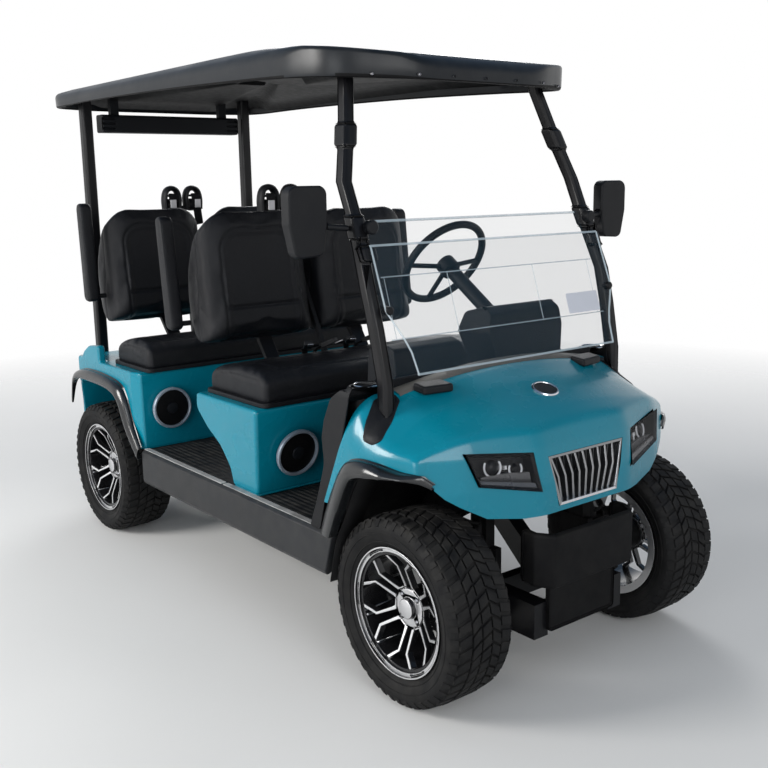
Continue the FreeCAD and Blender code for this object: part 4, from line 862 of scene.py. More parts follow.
def flares():
    """Rounded black lips: a groove along the body, out over a full edge and back to the opening."""
    count = 64
    for name, (body_line, edge_line, plan) in FLARES.items():
        inner, outer = smooth_line(body_line, count), smooth_line(edge_line, count)
        places, widths = zip(*plan)
        rows = []
        for share_out, share_down in LIP_SECTION:
            line = inner + (outer - inner) * share_down
            root = np.full(count, HALF_W + 0.0005)
            if name == "front_flares":
                root = np.minimum(root, plan_half_width(line[:, 0]) - 0.002)
            x = root + (np.interp(line[:, 0], places, widths) - root) * share_out
            rows.append(np.column_stack([x, line[:, 0] + FRONT_AXLE, line[:, 1]]))
        mesh = reworked(grid(name + "_lip", rows),
                        lambda work: bmesh.ops.solidify(work, geom=work.faces, thickness=SHEET))
        piece(name + "_lip", both_sides(mesh), SATIN, "root", 50.0, replaces=[name])


# Wheels

TREAD_PITCHES = 46
TREAD_ROWS = [
    # inner and outer edge across the tread, slant, start and length along one pitch, crown, drop at the edge
    (-0.0165, 0.0165, 0.0, 0.0, 0.80, 0.2878, 0.0),
    (0.0205, 0.0520, 0.55, 0.15, 0.80, 0.2878, 0.0),
    (0.0560, 0.0965, 0.30, 0.40, 0.70, 0.2862, 0.0045),
]
TREAD_FLOOR = 0.2765
TYRE_BEAD = (0.0905, 0.1785)
TYRE_WALL = [(0.0905, 0.1965), (0.0960, 0.2030), (0.1040, 0.2160), (0.1100, 0.2320), (0.1122, 0.2470), (0.1100, 0.2600),
             (0.1035, 0.2700), (0.0940, 0.2765), (0.0800, 0.2790), (0.0400, 0.2800)]
RIM_STEP_X = 0.086
RIM_STEP_R = (0.150, 0.192)
NUT_CIRCLE = 0.047
NUT_X = 0.035


def tyre_mesh(seed):
    """A tyre with a rounded wall, raised rings and a block tread in five rows."""
    profile = [TYRE_BEAD] + [tuple(p) for p in smooth_line(TYRE_WALL, 26)]
    meshes = [lathe("carcass", profile + [(-a, r) for a, r in reversed(profile)], 120, closed=True)]
    for side in (-1, 1):
        for radius, x in ((0.2120, 0.1022), (0.2365, 0.1110)):
            ring = [(side * (x + out), radius + up)
                    for out, up in ((-0.0012, -0.0022), (0.0016, -0.0012), (0.0016, 0.0012), (-0.0006, 0.0024))]
            meshes.append(lathe("ring", ring, 120))
    pitch = 2 * math.pi / TREAD_PITCHES
    points, faces = [], []
    chance = random.Random(seed)

    def add(numbers):
        faces.append(tuple(base + number for number in numbers))

    for number in range(TREAD_PITCHES):
        for row, (low, high, slant, start, length, crown, edge_drop) in enumerate(TREAD_ROWS):
            for side in ((1,) if row == 0 else (-1, 1)):
                jitter = chance.uniform(-0.03, 0.03)
                begin = (number + start + jitter + (0.5 if side < 0 else 0.0)) * pitch
                corners = []
                for x, along in ((low, 0.0), (high, 0.0), (high, 1.0), (low, 1.0)):
                    lean = slant * (x - low) / (high - low) * pitch
                    if row == 0:
                        lean = 0.18 * pitch * (1 if x > 0 else -1)
                    corners.append((side * x if row else x, begin + lean + along * length * pitch))
                middle = np.mean(corners, axis=0)
                base = len(points)
                for radius, shrink in ((TREAD_FLOOR, 1.0), (crown - 0.0012, 0.96), (crown, 0.86)):
                    for corner in corners:
                        x, turn = middle + (np.array(corner) - middle) * shrink
                        drop = edge_drop * max(0.0, abs(x) - 0.06) / 0.04
                        points.append((x, (radius - drop) * math.cos(turn), (radius - drop) * math.sin(turn)))
                for k in range(4):
                    n = (k + 1) % 4
                    add((k, n, 4 + n, 4 + k))
                    add((4 + k, 4 + n, 8 + n, 8 + k))
                add((8, 9, 10, 11))
        for side in (-1, 1):
            begin = (number + 0.55 + (0.5 if side < 0 else 0.0)) * pitch
            base = len(points)
            for lift in (0.0, 0.0028):
                for radius, x in ((0.2755, 0.0975), (0.2560, 0.1105)):
                    for along in (0.0, 0.45):
                        turn = begin + along * pitch
                        points.append((side * (x + lift), (radius + lift) * math.cos(turn),
                                       (radius + lift) * math.sin(turn)))
            for numbers in ((4, 5, 7, 6), (0, 1, 5, 4), (2, 6, 7, 3), (0, 4, 6, 2), (1, 3, 7, 5)):
                add(numbers)
    meshes.append(new_mesh("blocks", points, faces))
    return joined("tyre", meshes)


def rim_mesh(name, half_track, y):
    """The CAD rim with the flat step behind its edge told apart from the machined faces."""
    mesh = cleaned(name)
    for face in mesh.polygons:
        spots = [mesh.vertices[number].co for number in face.vertices]
        radii = [math.hypot(p.y - FRONT_AXLE - y, p.z - TYRE_R) for p in spots]
        on_step = all(abs(abs(p.x) - half_track - RIM_STEP_X) < 0.002 for p in spots)
        inside = min(radii) > RIM_STEP_R[0] and max(radii) < RIM_STEP_R[1]
        face.material_index = 1 if on_step and inside else 0
    return mesh


def wheels():
    for row, half_track, y in (("front", FRONT_TRACK, 0.0), ("rear", REAR_TRACK, WHEELBASE)):
        for side, sign in SIDES:
            body = "wheel_%s_%s" % (row, side)
            tyre = tyre_mesh(len(body))
            if sign < 0:
                tyre = flipped(tyre)
            tyre.transform(Matrix.Translation(at(sign * half_track, y, TYRE_R)))
            name = "tyre_%s_%s" % (row, side)
            piece(name + "_tread", tyre, RUBBER, body, 24.0, replaces=[name])
            rim = "rim_%s_%s" % (row, side)
            piece(rim + "_dressed", rim_mesh(rim, half_track, y), [ALLOY, GLOSS], body, 30.0, 0.0026,
                  replaces=[rim])
            parts = []
            for k in range(4):
                turn = 2 * math.pi * (k + 0.5) / 4
                spot = at(sign * (half_track + NUT_X), y + NUT_CIRCLE * math.cos(turn),
                          TYRE_R + NUT_CIRCLE * math.sin(turn))
                section = [(0.0, 0.0), (0.0, 0.0068), (sign * 0.007, 0.0068), (sign * 0.010, 0.004),
                           (sign * 0.010, 0.0)]
                parts.append(lathe("nut", section, 6, spot))
            stem = [(0.0, 0.0), (0.0, 0.004), (sign * 0.022, 0.0035), (sign * 0.026, 0.0)]
            parts.append(lathe("stem", stem, 12, at(sign * (half_track + 0.060), y + 0.150, TYRE_R - 0.060)))
            piece(body + "_nuts", joined("nuts", parts), STEEL, body, 30.0)


# Seats

CUSHION_Z = 0.7725
CUSHION_THICK = 0.113
# Front and rear edge of each bench
BENCHES = {
    "front": (FRONT_ROW - 0.065, FRONT_ROW + 0.332),
    "rear": (REAR_ROW - 0.052, REAR_ROW + 0.280),
}
BENCH_HALF = 0.556
BACK_Y = {"front": FRONT_ROW + 0.380, "rear": REAR_ROW + 0.365}
BACK_SIDE = [(0.000, 0.942), (0.066, 1.428), (0.112, 1.414), (0.166, 1.335), (0.208, 1.210), (0.220, 1.090),
             (0.208, 1.010), (0.172, 0.946), (0.118, 0.918)]


CLOTH_SETTINGS = {
    "use_pressure": True,
    "uniform_pressure_force": 3.0,
    "quality": 4,
    "tension_stiffness": 18.0,
    "compression_stiffness": 18.0,
    "bending_stiffness": 2.0,
}
SWELL_FRAMES = 20
SWELL_VOXEL = 0.011


def coordinates(mesh, kind="co"):
    values = np.empty(len(mesh.vertices) * 3)
    mesh.vertices.foreach_get(kind, values)
    return values.reshape(-1, 3)


def puffed(mesh, name, limit, flat_below=None):
    """Swells a closed mesh with a cloth simulation."""
    made = linked(name + "_work", mesh)
    remesh = made.modifiers.new("even", "REMESH")
    remesh.mode = "VOXEL"
    remesh.voxel_size = SWELL_VOXEL
    even = baked(made)
    made.modifiers.clear()
    made.data = even
    start = coordinates(even)
    cloth = made.modifiers.new("swell", "CLOTH")
    for key, value in CLOTH_SETTINGS.items():
        setattr(cloth.settings, key, value)
    cloth.settings.effector_weights.gravity = 0.0
    cloth.collision_settings.use_collision = False
    scene = bpy.context.scene
    for number in range(1, SWELL_FRAMES + 1):
        scene.frame_set(number)
    swollen = baked(made)
    made.modifiers.clear()
    made.data = swollen
    way = coordinates(swollen) - start
    reach = np.linalg.norm(way, axis=1)
    moved = start + way * (np.minimum(reach, limit) / np.maximum(reach, 1e-9))[:, None]
    if flat_below is not None:
        moved[:, 2] = np.maximum(moved[:, 2], flat_below)
    swollen.vertices.foreach_set("co", moved.ravel())
    scene.frame_set(1)
    smooth = made.modifiers.new("smooth", "SUBSURF")
    smooth.levels = smooth.render_levels = 1
    done = baked(made)
    bpy.data.objects.remove(made)
    return done


def rounded_outline(points, radius, per_corner=6):
    """An outline whose corners are rounded off."""
    points = [np.array(p) for p in points]
    line = []
    for last, here, after in zip(points[-1:] + points[:-1], points, points[1:] + points[:1]):
        back, ahead = last - here, after - here
        a, b = np.linalg.norm(back), np.linalg.norm(ahead)
        reach = min(radius, 0.45 * a, 0.45 * b)
        start, stop = here + back / a * reach, here + ahead / b * reach
        for share in np.linspace(0, 1, per_corner):
            line.append(tuple((1 - share) ** 2 * start + 2 * share * (1 - share) * here + share ** 2 * stop))
    return line


def swept(name, outline, low, high, ends):
    """An outline of (y, z) carried across between two widths, drawn in at both ends."""
    points = np.array(outline)
    middle = (points.max(axis=0) + points.min(axis=0)) / 2
    rows = []
    stations = [(low + out, inset) for out, inset in ends] + [(high - out, inset) for out, inset in reversed(ends)]
    for x, inset in stations:
        span = np.abs(points - middle).max(axis=0)
        ring = middle + (points - middle) * (span - inset) / span
        rows.append([at(x, y, z) for y, z in ring])
    return reworked(grid(name, rows, around=True), capped, facing_out)


def pressed(mesh, depth):
    """Moves each point of a mesh inwards by its own depth."""
    place, facing = coordinates(mesh), coordinates(mesh, "normal")
    mesh.vertices.foreach_set("co", (place - facing * depth[:, None]).ravel())
    mesh.update()


def grooved(mesh, distance, depth, width):
    """Presses a mesh in along lines, where distance gives how far each point is from the nearest."""
    pressed(mesh, np.exp(-(distance(coordinates(mesh)) / width) ** 2) * depth)


def bench_outline(row, inset):
    y0, y1 = BENCHES[row]
    z0, z1 = CUSHION_Z, CUSHION_Z + CUSHION_THICK
    i = inset
    return [(y0 + i, z0 + 0.002), (y0 + i, z1 - 0.024 - i), (y0 + 0.038, z1 - i), (y0 + 0.180, z1 + 0.006 - i),
            (y1 - 0.040, z1 - 0.014 - i), (y1 - i, z1 - 0.034 - i), (y1 + 0.006 - i, z0 + 0.002)]


def benches():
    for row in ("front", "rear"):
        y0, y1 = BENCHES[row]
        outline = rounded_outline(bench_outline(row, 0.005), 0.022)
        mesh = swept("bench", outline, -BENCH_HALF, BENCH_HALF,
                     [(0.0, 0.020), (0.005, 0.009), (0.018, 0.0), (0.19, 0.0)])
        mesh = puffed(mesh, "bench", 0.009, CUSHION_Z + 0.001)

        def seams(place):
            x, y, z = np.abs(place[:, 0]), place[:, 1] - FRONT_AXLE - y0, place[:, 2] - CUSHION_Z
            top, inner = z > 0.060, x < 0.46
            lines = [
                np.where(top, x, 1.0),
                np.where(top & (y > 0.05), np.abs(x - 0.46), 1.0),
                np.where(top & inner, np.abs(y - 0.055), 1.0),
                np.where(top & inner & (y > 0.055), np.abs(y - 0.21), 1.0),
                np.where((x > 0.545) | (y < 0.006), np.abs(z - 0.088), 1.0),
            ]
            return np.minimum.reduce(lines)

        grooved(mesh, seams, 0.0045, 0.0055)
        made = piece("%s_bench" % row, mesh, VINYL, "root", 80.0,
                     replaces=["%s_seat_cushion" % row])
        base = [(-0.560, y0 - 0.002), (0.560, y0 - 0.002), (0.560, y1 + 0.006), (-0.560, y1 + 0.006)]
        tray = raised("tray", [at(x, y, CUSHION_Z - 0.0005) for x, y in rounded_outline(base, 0.03)], 0.016)
        piece("%s_bench_tray" % row, tray, BLACK, "root", 40.0, bevel=0.003)


BACK_FOOT = 0.930
BACK_TOP = 1.428
PANEL_HALF_W = 0.165
PANEL_CORNER = 0.085
PANEL_TOP = 1.352
BACK_X = (0.012, 0.500)


def back_shape(x0, x1, back_y):
    """A seat back: fuller at the sides, thinner at the top, with rounded upper corners."""
    points = rounded_outline([(y + back_y, z) for y, z in BACK_SIDE], 0.040, 5)
    rows = []
    for turn in np.linspace(-1, 1, 27):
        u = math.sin(turn * math.pi / 2)
        corner = (1 - min(abs(u), 0.9999) ** 7) ** (1 / 3.2)
        drop = 0.085 * max(0.0, (abs(u) - 0.45) / 0.55) ** 2.6
        ring = []
        for y, z in points:
            rise = (z - BACK_FOOT) / (BACK_TOP - BACK_FOOT)
            middle = back_y + 0.066 * rise + 0.10
            ring.append(at((x0 + x1) / 2 + (x1 - x0) / 2 * u, middle + (y - middle) * (0.30 + 0.70 * corner),
                           z - drop * max(0.0, rise) ** 2))
        rows.append(ring)
    return reworked(grid("back", rows, around=True), capped, facing_out)


def seat_backs():
    x0, x1 = BACK_X
    front_y = BACK_Y["front"]
    mesh = puffed(back_shape(x0 + 0.006, x1 - 0.006, front_y), "back", 0.010)

    def from_panel(place):
        """Distance from the arch-topped line round the middle panel, and what lies on the front face."""
        x, y, z = np.abs(place[:, 0] - (x0 + x1) / 2), place[:, 1] - FRONT_AXLE - front_y, place[:, 2]
        cx, cz = PANEL_HALF_W - PANEL_CORNER, PANEL_TOP - PANEL_CORNER
        arch = np.hypot(np.maximum(x - cx, 0), np.maximum(z - cz, 0)) - PANEL_CORNER
        box = np.maximum(x - PANEL_HALF_W, z - PANEL_TOP)
        return np.where((x > cx) & (z > cz), arch, box), y < 0.075 + (z - 0.94) * 0.13

    def seams(place):
        ring, ahead = from_panel(place)
        lower = np.where(ring < 0, np.abs(place[:, 2] - 1.060), 1.0)
        return np.where(ahead, np.minimum(np.abs(ring), lower), 1.0)

    def rim(place):
        return np.abs(place[:, 1] - FRONT_AXLE - front_y - 0.105 - (place[:, 2] - 0.94) * 0.05)

    ring, ahead = from_panel(coordinates(mesh))
    pressed(mesh, 0.010 * np.where(ahead, np.clip(-ring / 0.03, 0, 1), 0.0))
    grooved(mesh, seams, 0.0060, 0.0060)
    grooved(mesh, rim, 0.0030, 0.0050)
    for row in ("front", "rear"):
        for side, sign in SIDES:
            copy = mesh.copy() if sign > 0 else flipped(mesh)
            copy.transform(Matrix.Translation((0, BACK_Y[row] - front_y, 0)))
            made = piece("%s_back_%s" % (row, side), copy, VINYL, "root", 80.0,
                         replaces=["%s_seat_backs" % row] if sign > 0 else [])
        foot_y, low_z, high_z = BENCHES[row][1] + 0.009, 0.752, 0.980
        bracket = [(foot_y, low_z), (foot_y + 0.016, low_z), (BACK_Y[row] + 0.150, high_z),
                   (BACK_Y[row] + 0.120, high_z)]
        piece("%s_back_brackets" % row, both_sides(side_prism(bracket, 0.190, 0.250, "brackets")), COAT, "root",
              35.0, bevel=0.002)


def armrests():
    for row, y, z, run in (("front", 1.315, 1.000, 0.050), ("rear", 2.098, 1.045, 0.026)):
        for side, sign in SIDES:
            name = "armrest_%s_%s" % (row, side)
            corners = [(y - 0.027, z - 0.022), (y + 0.027, z - 0.022), (y + 0.027 + run, z + 0.400),
                       (y - 0.027 + run, z + 0.400)]
            pad = swept(name, rounded_outline(corners, 0.024, 7), 0.538, 0.588,
                        [(0.0, 0.009), (0.003, 0.004), (0.010, 0.0), (0.022, 0.0)])
            pin = lathe("pin", [(0.5003, 0.0), (0.5003, 0.010), (0.536, 0.010), (0.536, 0.015), (0.540, 0.015),
                                (0.540, 0.0)], 28, at(0, y, z))
            mesh = joined(name, [(pad, 0), (pin, 1)])
            made = piece(name + "_pad", mesh if sign > 0 else flipped(mesh), [VINYL, BLACK], name, 45.0,
                         replaces=[name])


# Belts and their towers

def belt_tower(row, head_y):
    """Two arched guides with their reels and straps on a leaning stem."""
    parts = []
    for sign in (-1, 1):
        arch = [(0.020, 1.402), (0.018, 1.460), (0.032, 1.494), (0.058, 1.502), (0.082, 1.488), (0.092, 1.450),
                (0.090, 1.402)]
        path = [at(x, head_y - 0.006, z) for x, z in smooth_line([(sign * x, z) for x, z in arch], 28)]
        parts.append((tube("loop", path, 0.0125, 12, 2.0, (1, 0, 0)), 0))
        reel_x = sign * 0.058
        section = [(-0.024, 0.0), (-0.024, 0.026), (-0.020, 0.029), (0.020, 0.029), (0.024, 0.026), (0.024, 0.0)]
        parts.append((lathe("drum", section, 32, at(reel_x, head_y + 0.002, 1.424)), 0))
        parts.append((box_mesh("guide", at(reel_x - 0.026, head_y - 0.030, 1.462),
                               at(reel_x + 0.026, head_y + 0.022, 1.472)), 1))
        strap = [(reel_x, head_y - 0.026, 1.478), (sign * 0.060, head_y - 0.036, 1.440),
                 (sign * 0.066, head_y - 0.034, 1.390), (sign * 0.075, head_y - 0.030, 1.330)]
        parts.append((tube("strap", [at(*p) for p in smooth_line(strap, 16)], 0.022, 8, 0.06, (1, 0, 0)), 2))
        tongue = box_mesh("tongue", (-0.015, -0.002, -0.026), (0.015, 0.002, 0.014))
        tongue.transform(Matrix.Translation(at(sign * 0.064, head_y - 0.044, 1.436)))
        parts.append((tongue, 3))
    foot = FRONT_ROW + 0.328 if row == "front" else WHEELBASE + 0.200
    stem = [(foot - 0.010, 0.772), (foot + 0.014, 0.772), (head_y + 0.010, 1.42), (head_y - 0.018, 1.42)]
    parts.append((side_prism(stem, -0.009, 0.009, "stem"), 0))
    parts.append((box_mesh("bridge", at(-0.086, head_y - 0.020, 1.398), at(0.086, head_y + 0.020, 1.412)), 0))
    piece("%s_belt_tower" % row, joined("tower", parts), [BLACK, DASH, WEBBING, STEEL], "root",
          38.0, bevel=0.0015, replaces=["belt_towers"] if row == "front" else [])


def buckles(row, foot_y):
    """Two pairs of buckles on short straps between the seats."""
    parts = []
    for x in (-0.10, 0.10):
        for lean in (-1, 1):
            turn = Matrix.Rotation(math.radians(28 * lean), 4, "Z") @ Matrix.Rotation(math.radians(-24), 4, "X")
            body = box_mesh("buckle", (-0.016, -0.032, -0.009), (0.016, 0.032, 0.009))
            body.transform(Matrix.Translation(at(x + 0.05 * lean, foot_y - 0.060, 0.905)) @ turn)
            path = [at(x + 0.05 * lean, foot_y - 0.030, 0.892), at(x + 0.03 * lean, foot_y - 0.008, 0.878),
                    at(x + 0.02 * lean, foot_y + 0.010, 0.858)]
            stalk = tube("stalk", path, 0.013, 8, 0.16, (1, 0, 0))
            plate = box_mesh("plate", (-0.011, -0.014, -0.0015), (0.011, 0.014, 0.0015))
            plate.transform(Matrix.Translation(at(x + 0.066 * lean, foot_y - 0.102, 0.912)) @ turn)
            parts += [(body, 0), (stalk, 1), (plate, 2)]
    piece("%s_buckles" % row, joined("buckles", parts), [BLACK, WEBBING, STEEL], "root", 38.0,
          bevel=0.0025)


def belt_parts():
    for row, head_y, foot_y in (("front", 1.442, 1.098), ("rear", 2.310, 1.918)):
        belt_tower(row, head_y)
        buckles(row, foot_y)


# Windshield, mirrors and posts

PANE_FOOT = (0.045, 0.965)
PANE_HEAD = (0.184, 1.333)


def on_upper_pane(x, z, out=0.0):
    """A point on the folded pane's front face."""
    lean = (PANE_HEAD[0] - PANE_FOOT[0]) / (PANE_HEAD[1] - PANE_FOOT[1])
    return at(x, PANE_FOOT[0] + (z - PANE_FOOT[1]) * lean - out, z)


def windshield():
    for name in ("lower", "upper"):
        piece(name + "_pane", cleaned("windshield_" + name), PANE, "root", 30.0,
              replaces=["windshield_" + name])
    # Thin pale strips along the panes' edges and joints are painted highlights.
    strips = []

    def strip(points, thick, deep):
        strips.append(tube("strip", [Vector(p) for p in points], thick, 4, deep / thick, (0, -0.35, 0.93)))

    edge = [(0.433, 0.966), (0.440, 1.030), (0.455, 1.069), (0.497, 1.150), (0.4950, 1.332)]
    for sign in (-1, 1):
        strip([on_upper_pane(sign * x, z, 0.001) for x, z in edge], 0.0022, 0.004)
    for x, z in ((0.495, 1.3325), (0.433, 0.9665)):
        strip([on_upper_pane(-x, z, -0.002), on_upper_pane(x, z, -0.002)], 0.0040, 0.006)
    for x, y, z, thick, deep in ((0.455, 0.252, 1.3990, 0.0045, 0.006), (0.462, 0.1785, 1.240, 0.0022, 0.003),
                                 (0.470, 0.1215, 1.062, 0.0022, 0.003)):
        strip([at(-x, y, z), at(x, y, z)], thick, deep)
    for x in (-0.452, -0.205, 0.170, 0.440):
        strip([at(x, 0.1215, 1.062), at(x, 0.1785, 1.240)], 0.0011, 0.0015)
    piece("painted_pane_highlights", joined("painted_pane_highlights", strips), PANE_HIGHLIGHT, "root", 40.0)
    label = rounded_outline([(0.256, 1.076), (0.412, 1.076), (0.415, 1.140), (0.260, 1.140)], 0.006)
    sheet = extruded("label", [on_upper_pane(x, z, 0.0016) for x, z in label], 0.0, (0, 1, 0), 0.0006)
    piece("pane_label", sheet, LABEL, "root", 40.0)


def post_clips():
    """Hinge clips that hold the folded pane, and rubber rests on the hood."""
    clips = []
    for x, y, z, radius in ((0.477, 0.205, 1.385, 0.021), (0.485, 0.120, 1.150, 0.013)):
        section = [(-0.016, 0.0), (-0.016, radius - 0.004), (-0.012, radius), (0.008, radius), (0.014, radius - 0.004),
                   (0.014, 0.0)]
        clips.append(lathe("clip", section, 28, at(x, y, z), "Y"))
    piece("post_knobs", both_sides(joined("knobs", clips)), BLACK, "root", 35.0)
    z = surface_point(0.347, 0.085).z
    corners = [at(0.292, 0.050, z - 0.003), at(0.397, 0.066, z - 0.003), at(0.397, 0.120, z + 0.004),
               at(0.292, 0.112, z + 0.004)]
    piece("hood_rests", both_sides(raised("rests", corners, 0.026)), BLACK, "root", 35.0,
          bevel=0.008, segments=3)


def hood_edge():
    """A pale ledge along the hood's rear edge, over the dash."""
    rows = []
    for y, lift in ((0.118, 0.0005), (0.122, 0.0045), (0.158, 0.0050), (0.1645, 0.0010)):
        rows.append([surface_point(x, min(y, 0.16)) + Vector((0, y - min(y, 0.16), lift))
                     for x in np.linspace(-0.445, 0.445, 60)])
    piece("hood_ledge", grid("ledge", rows), LEDGE, "root", 60.0)


GRILLE_FRAME = 0.0095
GRILLE_SHADE_DEPTH = -0.016


def grille():
    """The CAD grille with a bright frame, dull slats and a dark back, told apart by depth and place; the dark reaches
    onto the rear of the slats as painted shade.
    """
    mesh = cleaned("grille")
    corners, up, out = grille_frame()
    if out.y > 0:
        out = -out
    origin = (corners[0] + corners[1]) / 2
    height = (corners[2] - corners[1]).length
    for face in mesh.polygons:
        spot = face.center - origin
        rise = spot.dot(up)
        edge = GRILLE[1][0] + (GRILLE[0][0] - GRILLE[1][0]) * min(max(rise / height, 0), 1)
        on_frame = max(abs(spot.x) - edge, -rise, rise - height) > -GRILLE_FRAME
        # Faces deeper than this depth, the grille's back and the rear parts of the slats, take the dark lamp finish; on
        # the slats it is painted shade in the opening.
        face.material_index = 2 if spot.dot(out) < GRILLE_SHADE_DEPTH else 0 if on_frame else 1
    piece("grille_dressed", mesh, [CHROME, SLAT, LAMP_BODY], "root", 30.0, 0.0014,
          replaces=["grille"])


def pillar_covers():
    """Black covers at the feet of the front posts, lying on the body's flank."""
    outline = [(0.152, 0.892), (0.138, 0.898), (0.104, 0.884), (0.073, 0.834), (0.054, 0.790), (0.079, 0.775),
               (0.113, 0.782), (0.126, 0.828)]
    rows = []
    line = np.array(rounded_outline(outline, 0.009, 4))
    middle = line.mean(axis=0)
    for share, lift in ((1.0, -0.002), (1.0, 0.002), (0.93, 0.0045), (0.6, 0.005), (0.2, 0.005)):
        rows.append([side_point(y, z) + Vector((lift, 0, 0.5 * lift)) for y, z in middle + (line - middle) * share])
    mesh = reworked(grid("cover", rows, around=True), capped, facing_out)
    piece("pillar_covers", both_sides(mesh), BLACK, "root", 40.0)


SILL_TOP = 0.459
SILL_TRIM = [(0.385, 0.955), (0.965, 1.600)]


def sill_trim():
    """Pale strips along the top of the sills, in two lengths with a joint between: a worn trim whose brightness is
    partly painted highlight.
    """
    strips = []
    for start, stop in SILL_TRIM:
        outline = rounded_outline([(0.569, start), (0.592, start), (0.592, stop), (0.569, stop)], 0.005)
        strips.append(raised("trim", [at(x, y, SILL_TOP - 0.0003) for x, y in outline], 0.0030))
    piece("sill_trim", both_sides(joined("sill_trim", strips)), TRIM_AND_HIGHLIGHT, "root", 40.0, bevel=0.001)


def cup_rings():
    """Bright rims round the cup holders in the leg shields."""
    ring = lathe("ring", [(0.0, 0.0345), (0.0, 0.0385), (0.0025, 0.0395), (0.0045, 0.0375), (0.0030, 0.0345)], 56,
                 at(0.508, 0.200, 0.9230), "Z", closed=True)
    piece("cup_rings", both_sides(ring), CHROME, "root", 50.0)


# Everything that keeps its CAD form

DRESSED = [
    # node, finish, bevel, sharp angle
    ("rear_body", TEAL, 0.0100, 30.0),
    ("front_seat_pod", TEAL, 0.0140, 30.0),
    ("dash", DASH, 0.006, 30.0),
    ("leg_shields", BLACK, 0.0025, 30.0),
    ("front_posts", COAT, 0.0085, 30.0),
    ("rear_posts", COAT, 0.0070, 30.0),
    ("sound_bar", DASH, 0.0020, 30.0),
    ("rockers", GREY, 0.0045, 30.0),
    ("mirrors", BLACK, 0.0070, 30.0),
    ("steering_wheel", DASH, 0.0010, 40.0),
    ("steering_column", DASH, 0.0020, 30.0),
    ("front_valance", SHADED_UNDER, 0.0130, 30.0),
    ("rear_bumper", BLACK, 0.0060, 30.0),
    ("tail_lamps", RED, 0.0040, 30.0),
    ("pedals", BLACK, 0.0012, 30.0),
]
PLAIN = [
    # node, finish
    ("chassis_frame", COAT),
    ("floor_pan", MAT),
    ("front_suspension", SHADED_UNDER),
    ("rear_axle", SHADED_UNDER),
    ("rear_springs", SHADED_UNDER),
    ("battery", CASE),
    ("knuckle_left", SHADED_UNDER),
    ("knuckle_right", SHADED_UNDER),
]


SPEAKER_R = 0.0855
POD_LEAN = math.atan2(0.060, 0.772 - 0.455)


def speakers():
    spots = [(0.425, FRONT_ROW - 0.010 - 0.060 * (0.601 - 0.455) / 0.317, 0.601, POD_LEAN),
             (0.460, REAR_ROW - 0.026, 0.616, 0.0)]
    parts = []
    for x, y, z, turn in spots:
        ring = lathe("ring", [(0.014, 0.078), (0.0165, 0.085), (0.025, SPEAKER_R), (0.0305, 0.083), (0.0315, 0.078),
                              (0.029, 0.0745), (0.016, 0.0735)], 72)
        screen = lathe("mesh", [(0.020, 0.0745), (0.023, 0.060), (0.0245, 0.030), (0.025, 0.0)], 72)
        cap = lathe("cap", [(0.024, 0.024), (0.029, 0.022), (0.031, 0.012), (0.0315, 0.0)], 48)
        place = (Matrix.Translation(at(x, y, z)) @ Matrix.Rotation(turn, 4, "X")
                 @ Matrix.Rotation(math.radians(-90), 4, "Z"))
        for finish, mesh in enumerate((ring, screen, cap)):
            mesh.transform(place)
            parts.append((mesh, finish))
    piece("speaker_faces", both_sides(joined("speakers", parts)), [RING, CONE, DASH], "root", 35.0,
          replaces=["speakers"])


def mirror_glass():
    outline = rounded_outline([(0.616, 1.316), (0.700, 1.311), (0.720, 1.400), (0.720, 1.494), (0.608, 1.494),
                               (0.608, 1.400)], 0.022)
    glass = extruded("glass", [at(x, 0.2885, z) for x, z in outline], 0.0, (0, 1, 0), 0.002)
    piece("mirror_glass", both_sides(glass), CHROME, "root", 40.0)


COIL_TURNS = 6
COIL_STEPS = 24
COIL_R = 0.032


def front_springs():
    """A coil spring over a damper on each side of the front axle."""
    foot, head = at(0.310, 0.0, 0.330), at(0.270, 0.0, 0.560)
    way, across = head - foot, Vector((0, 1, 0))
    other = way.normalized().cross(across)
    path = []
    for share in np.linspace(0, 1, COIL_TURNS * COIL_STEPS + 1):
        turn = 2 * math.pi * COIL_TURNS * share
        path.append(foot + way * share + (across * math.cos(turn) + other * math.sin(turn)) * COIL_R)
    coil = tube("coils", path, 0.0055, 8)
    piece("front_coils", both_sides(coil), SHADED_UNDER, "root", 40.0)


# Camera, light and floor

CAMERA_PLACE = (-2.263, -3.251, 1.510)
CAMERA_AXES = [(0.7841, -0.6204, -0.0166), (0.1350, 0.1444, 0.9804), (-0.6058, -0.7709, 0.1970)]
LAMPS = [
    # name, place, target, size, power, colour
    ("key", (-5.0, 1.2, 2.7), (0, 0, 0.7), (2.0, 2.0), 250.0, (1.0, 0.98, 0.95)),
    ("front", (-1.2, -5.6, 2.4), (0, -0.6, 0.6), (3.0, 1.6), 90.0, (1.0, 1.0, 1.0)),
    ("side", (-5.2, -2.6, 1.6), (0, 0, 0.6), (2.4, 2.6), 80.0, (0.95, 0.98, 1.0)),
    ("rim", (3.6, 3.8, 3.6), (0, 0.4, 0.9), (3.0, 2.0), 130.0, (1.0, 1.0, 1.0)),
]
SOFT_LIGHT = (0.80, 0.86, 0.95, 1.0)
SOFT_STRENGTH = 0.36
SKY = (0.16, 0.25, 0.38, 1.0)
WHITE = (1.0, 1.0, 1.0, 1.0)


def lamp(name, place, target, size, power, colour):
    light = bpy.data.lights.new(name, "AREA")
    light.shape = "RECTANGLE"
    light.size, light.size_y = size
    light.energy = power
    light.color = colour
    made = linked(name, light)
    made.location = place
    made.rotation_euler = (Vector(target) - Vector(place)).to_track_quat("-Z", "Y").to_euler()
    return made


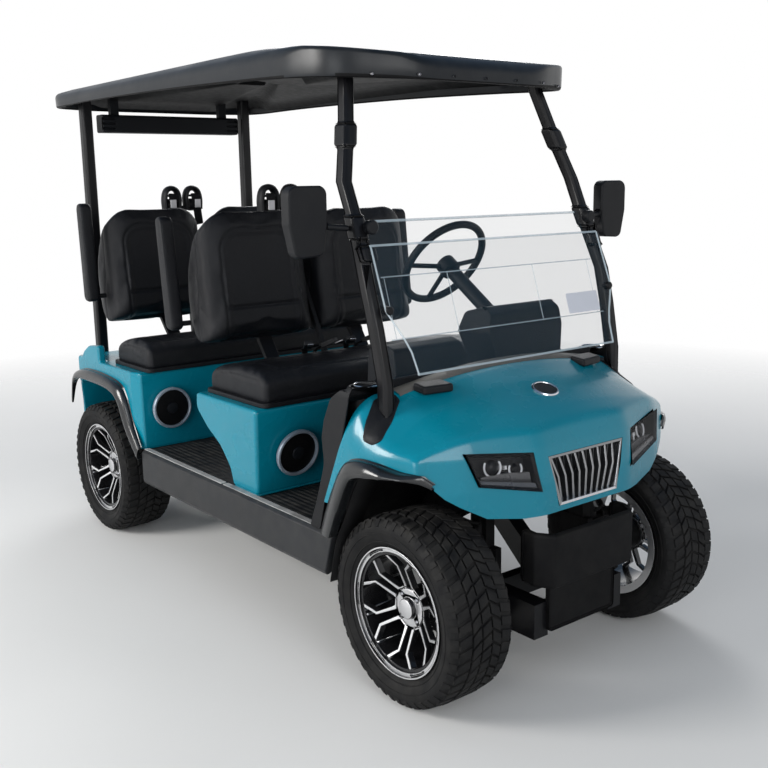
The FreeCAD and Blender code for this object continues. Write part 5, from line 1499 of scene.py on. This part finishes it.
def surroundings():
    """Soft light from all round, with white behind the cart and a blue-grey sky for what it reflects."""
    world = bpy.data.worlds.new("studio")
    world.use_nodes = True
    tree = world.node_tree
    tree.nodes.clear()
    height = component(tree, node(tree, "ShaderNodeTexCoord").outputs["Generated"], "Z")
    sky = mixed(tree, spread(tree, height, 0.0, 1.0, 0.22, 0.60), WHITE, SKY)
    soft = node(tree, "ShaderNodeBackground", {"Color": SOFT_LIGHT, "Strength": SOFT_STRENGTH})
    seen = node(tree, "ShaderNodeBackground", {"Color": sky, "Strength": 1.0})
    share = 0.0
    rays = node(tree, "ShaderNodeLightPath")
    for kind in ("Is Camera Ray", "Is Transmission Ray", "Is Glossy Ray"):
        share = maths(tree, "ADD", share, rays.outputs[kind], use_clamp=True)
    blend = node(tree, "ShaderNodeMixShader", {"Fac": share, 1: soft.outputs[0], 2: seen.outputs[0]})
    node(tree, "ShaderNodeOutputWorld", {"Surface": blend.outputs[0]})
    return world


def studio():
    scene = bpy.context.scene
    lens = bpy.data.cameras.new("camera")
    lens.lens = 46.88
    lens.sensor_width = 36.0
    lens.clip_end = 60.0
    camera = linked("camera", lens)
    turn = Matrix([Vector(axis) for axis in CAMERA_AXES]).transposed().to_4x4()
    camera.matrix_world = Matrix.Translation(CAMERA_PLACE) @ turn
    scene.camera = camera
    scene.view_settings.view_transform = "Standard"
    scene.world = surroundings()
    steps = np.linspace(-8, 8, 15)
    ground = grid("ground", [[(x, y, 0.0) for x in steps] for y in steps])
    ground.materials.append(FLOOR)
    linked("ground", ground)
    [lamp(*settings) for settings in LAMPS]


def main():
    front_body()
    arch_liner()
    badge()
    hood_edge()
    headlamps()
    roof()
    flares()
    wheels()
    benches()
    seat_backs()
    armrests()
    belt_parts()
    windshield()
    post_clips()
    grille()
    pillar_covers()
    cup_rings()
    sill_trim()
    for name, finish, bevel, sharp in DRESSED:
        dressed(name, finish, bevel, sharp)
    for name, finish in PLAIN:
        dressed(name, finish, 0.0, 30.0)
    speakers()
    mirror_glass()
    front_springs()
    studio()


main()
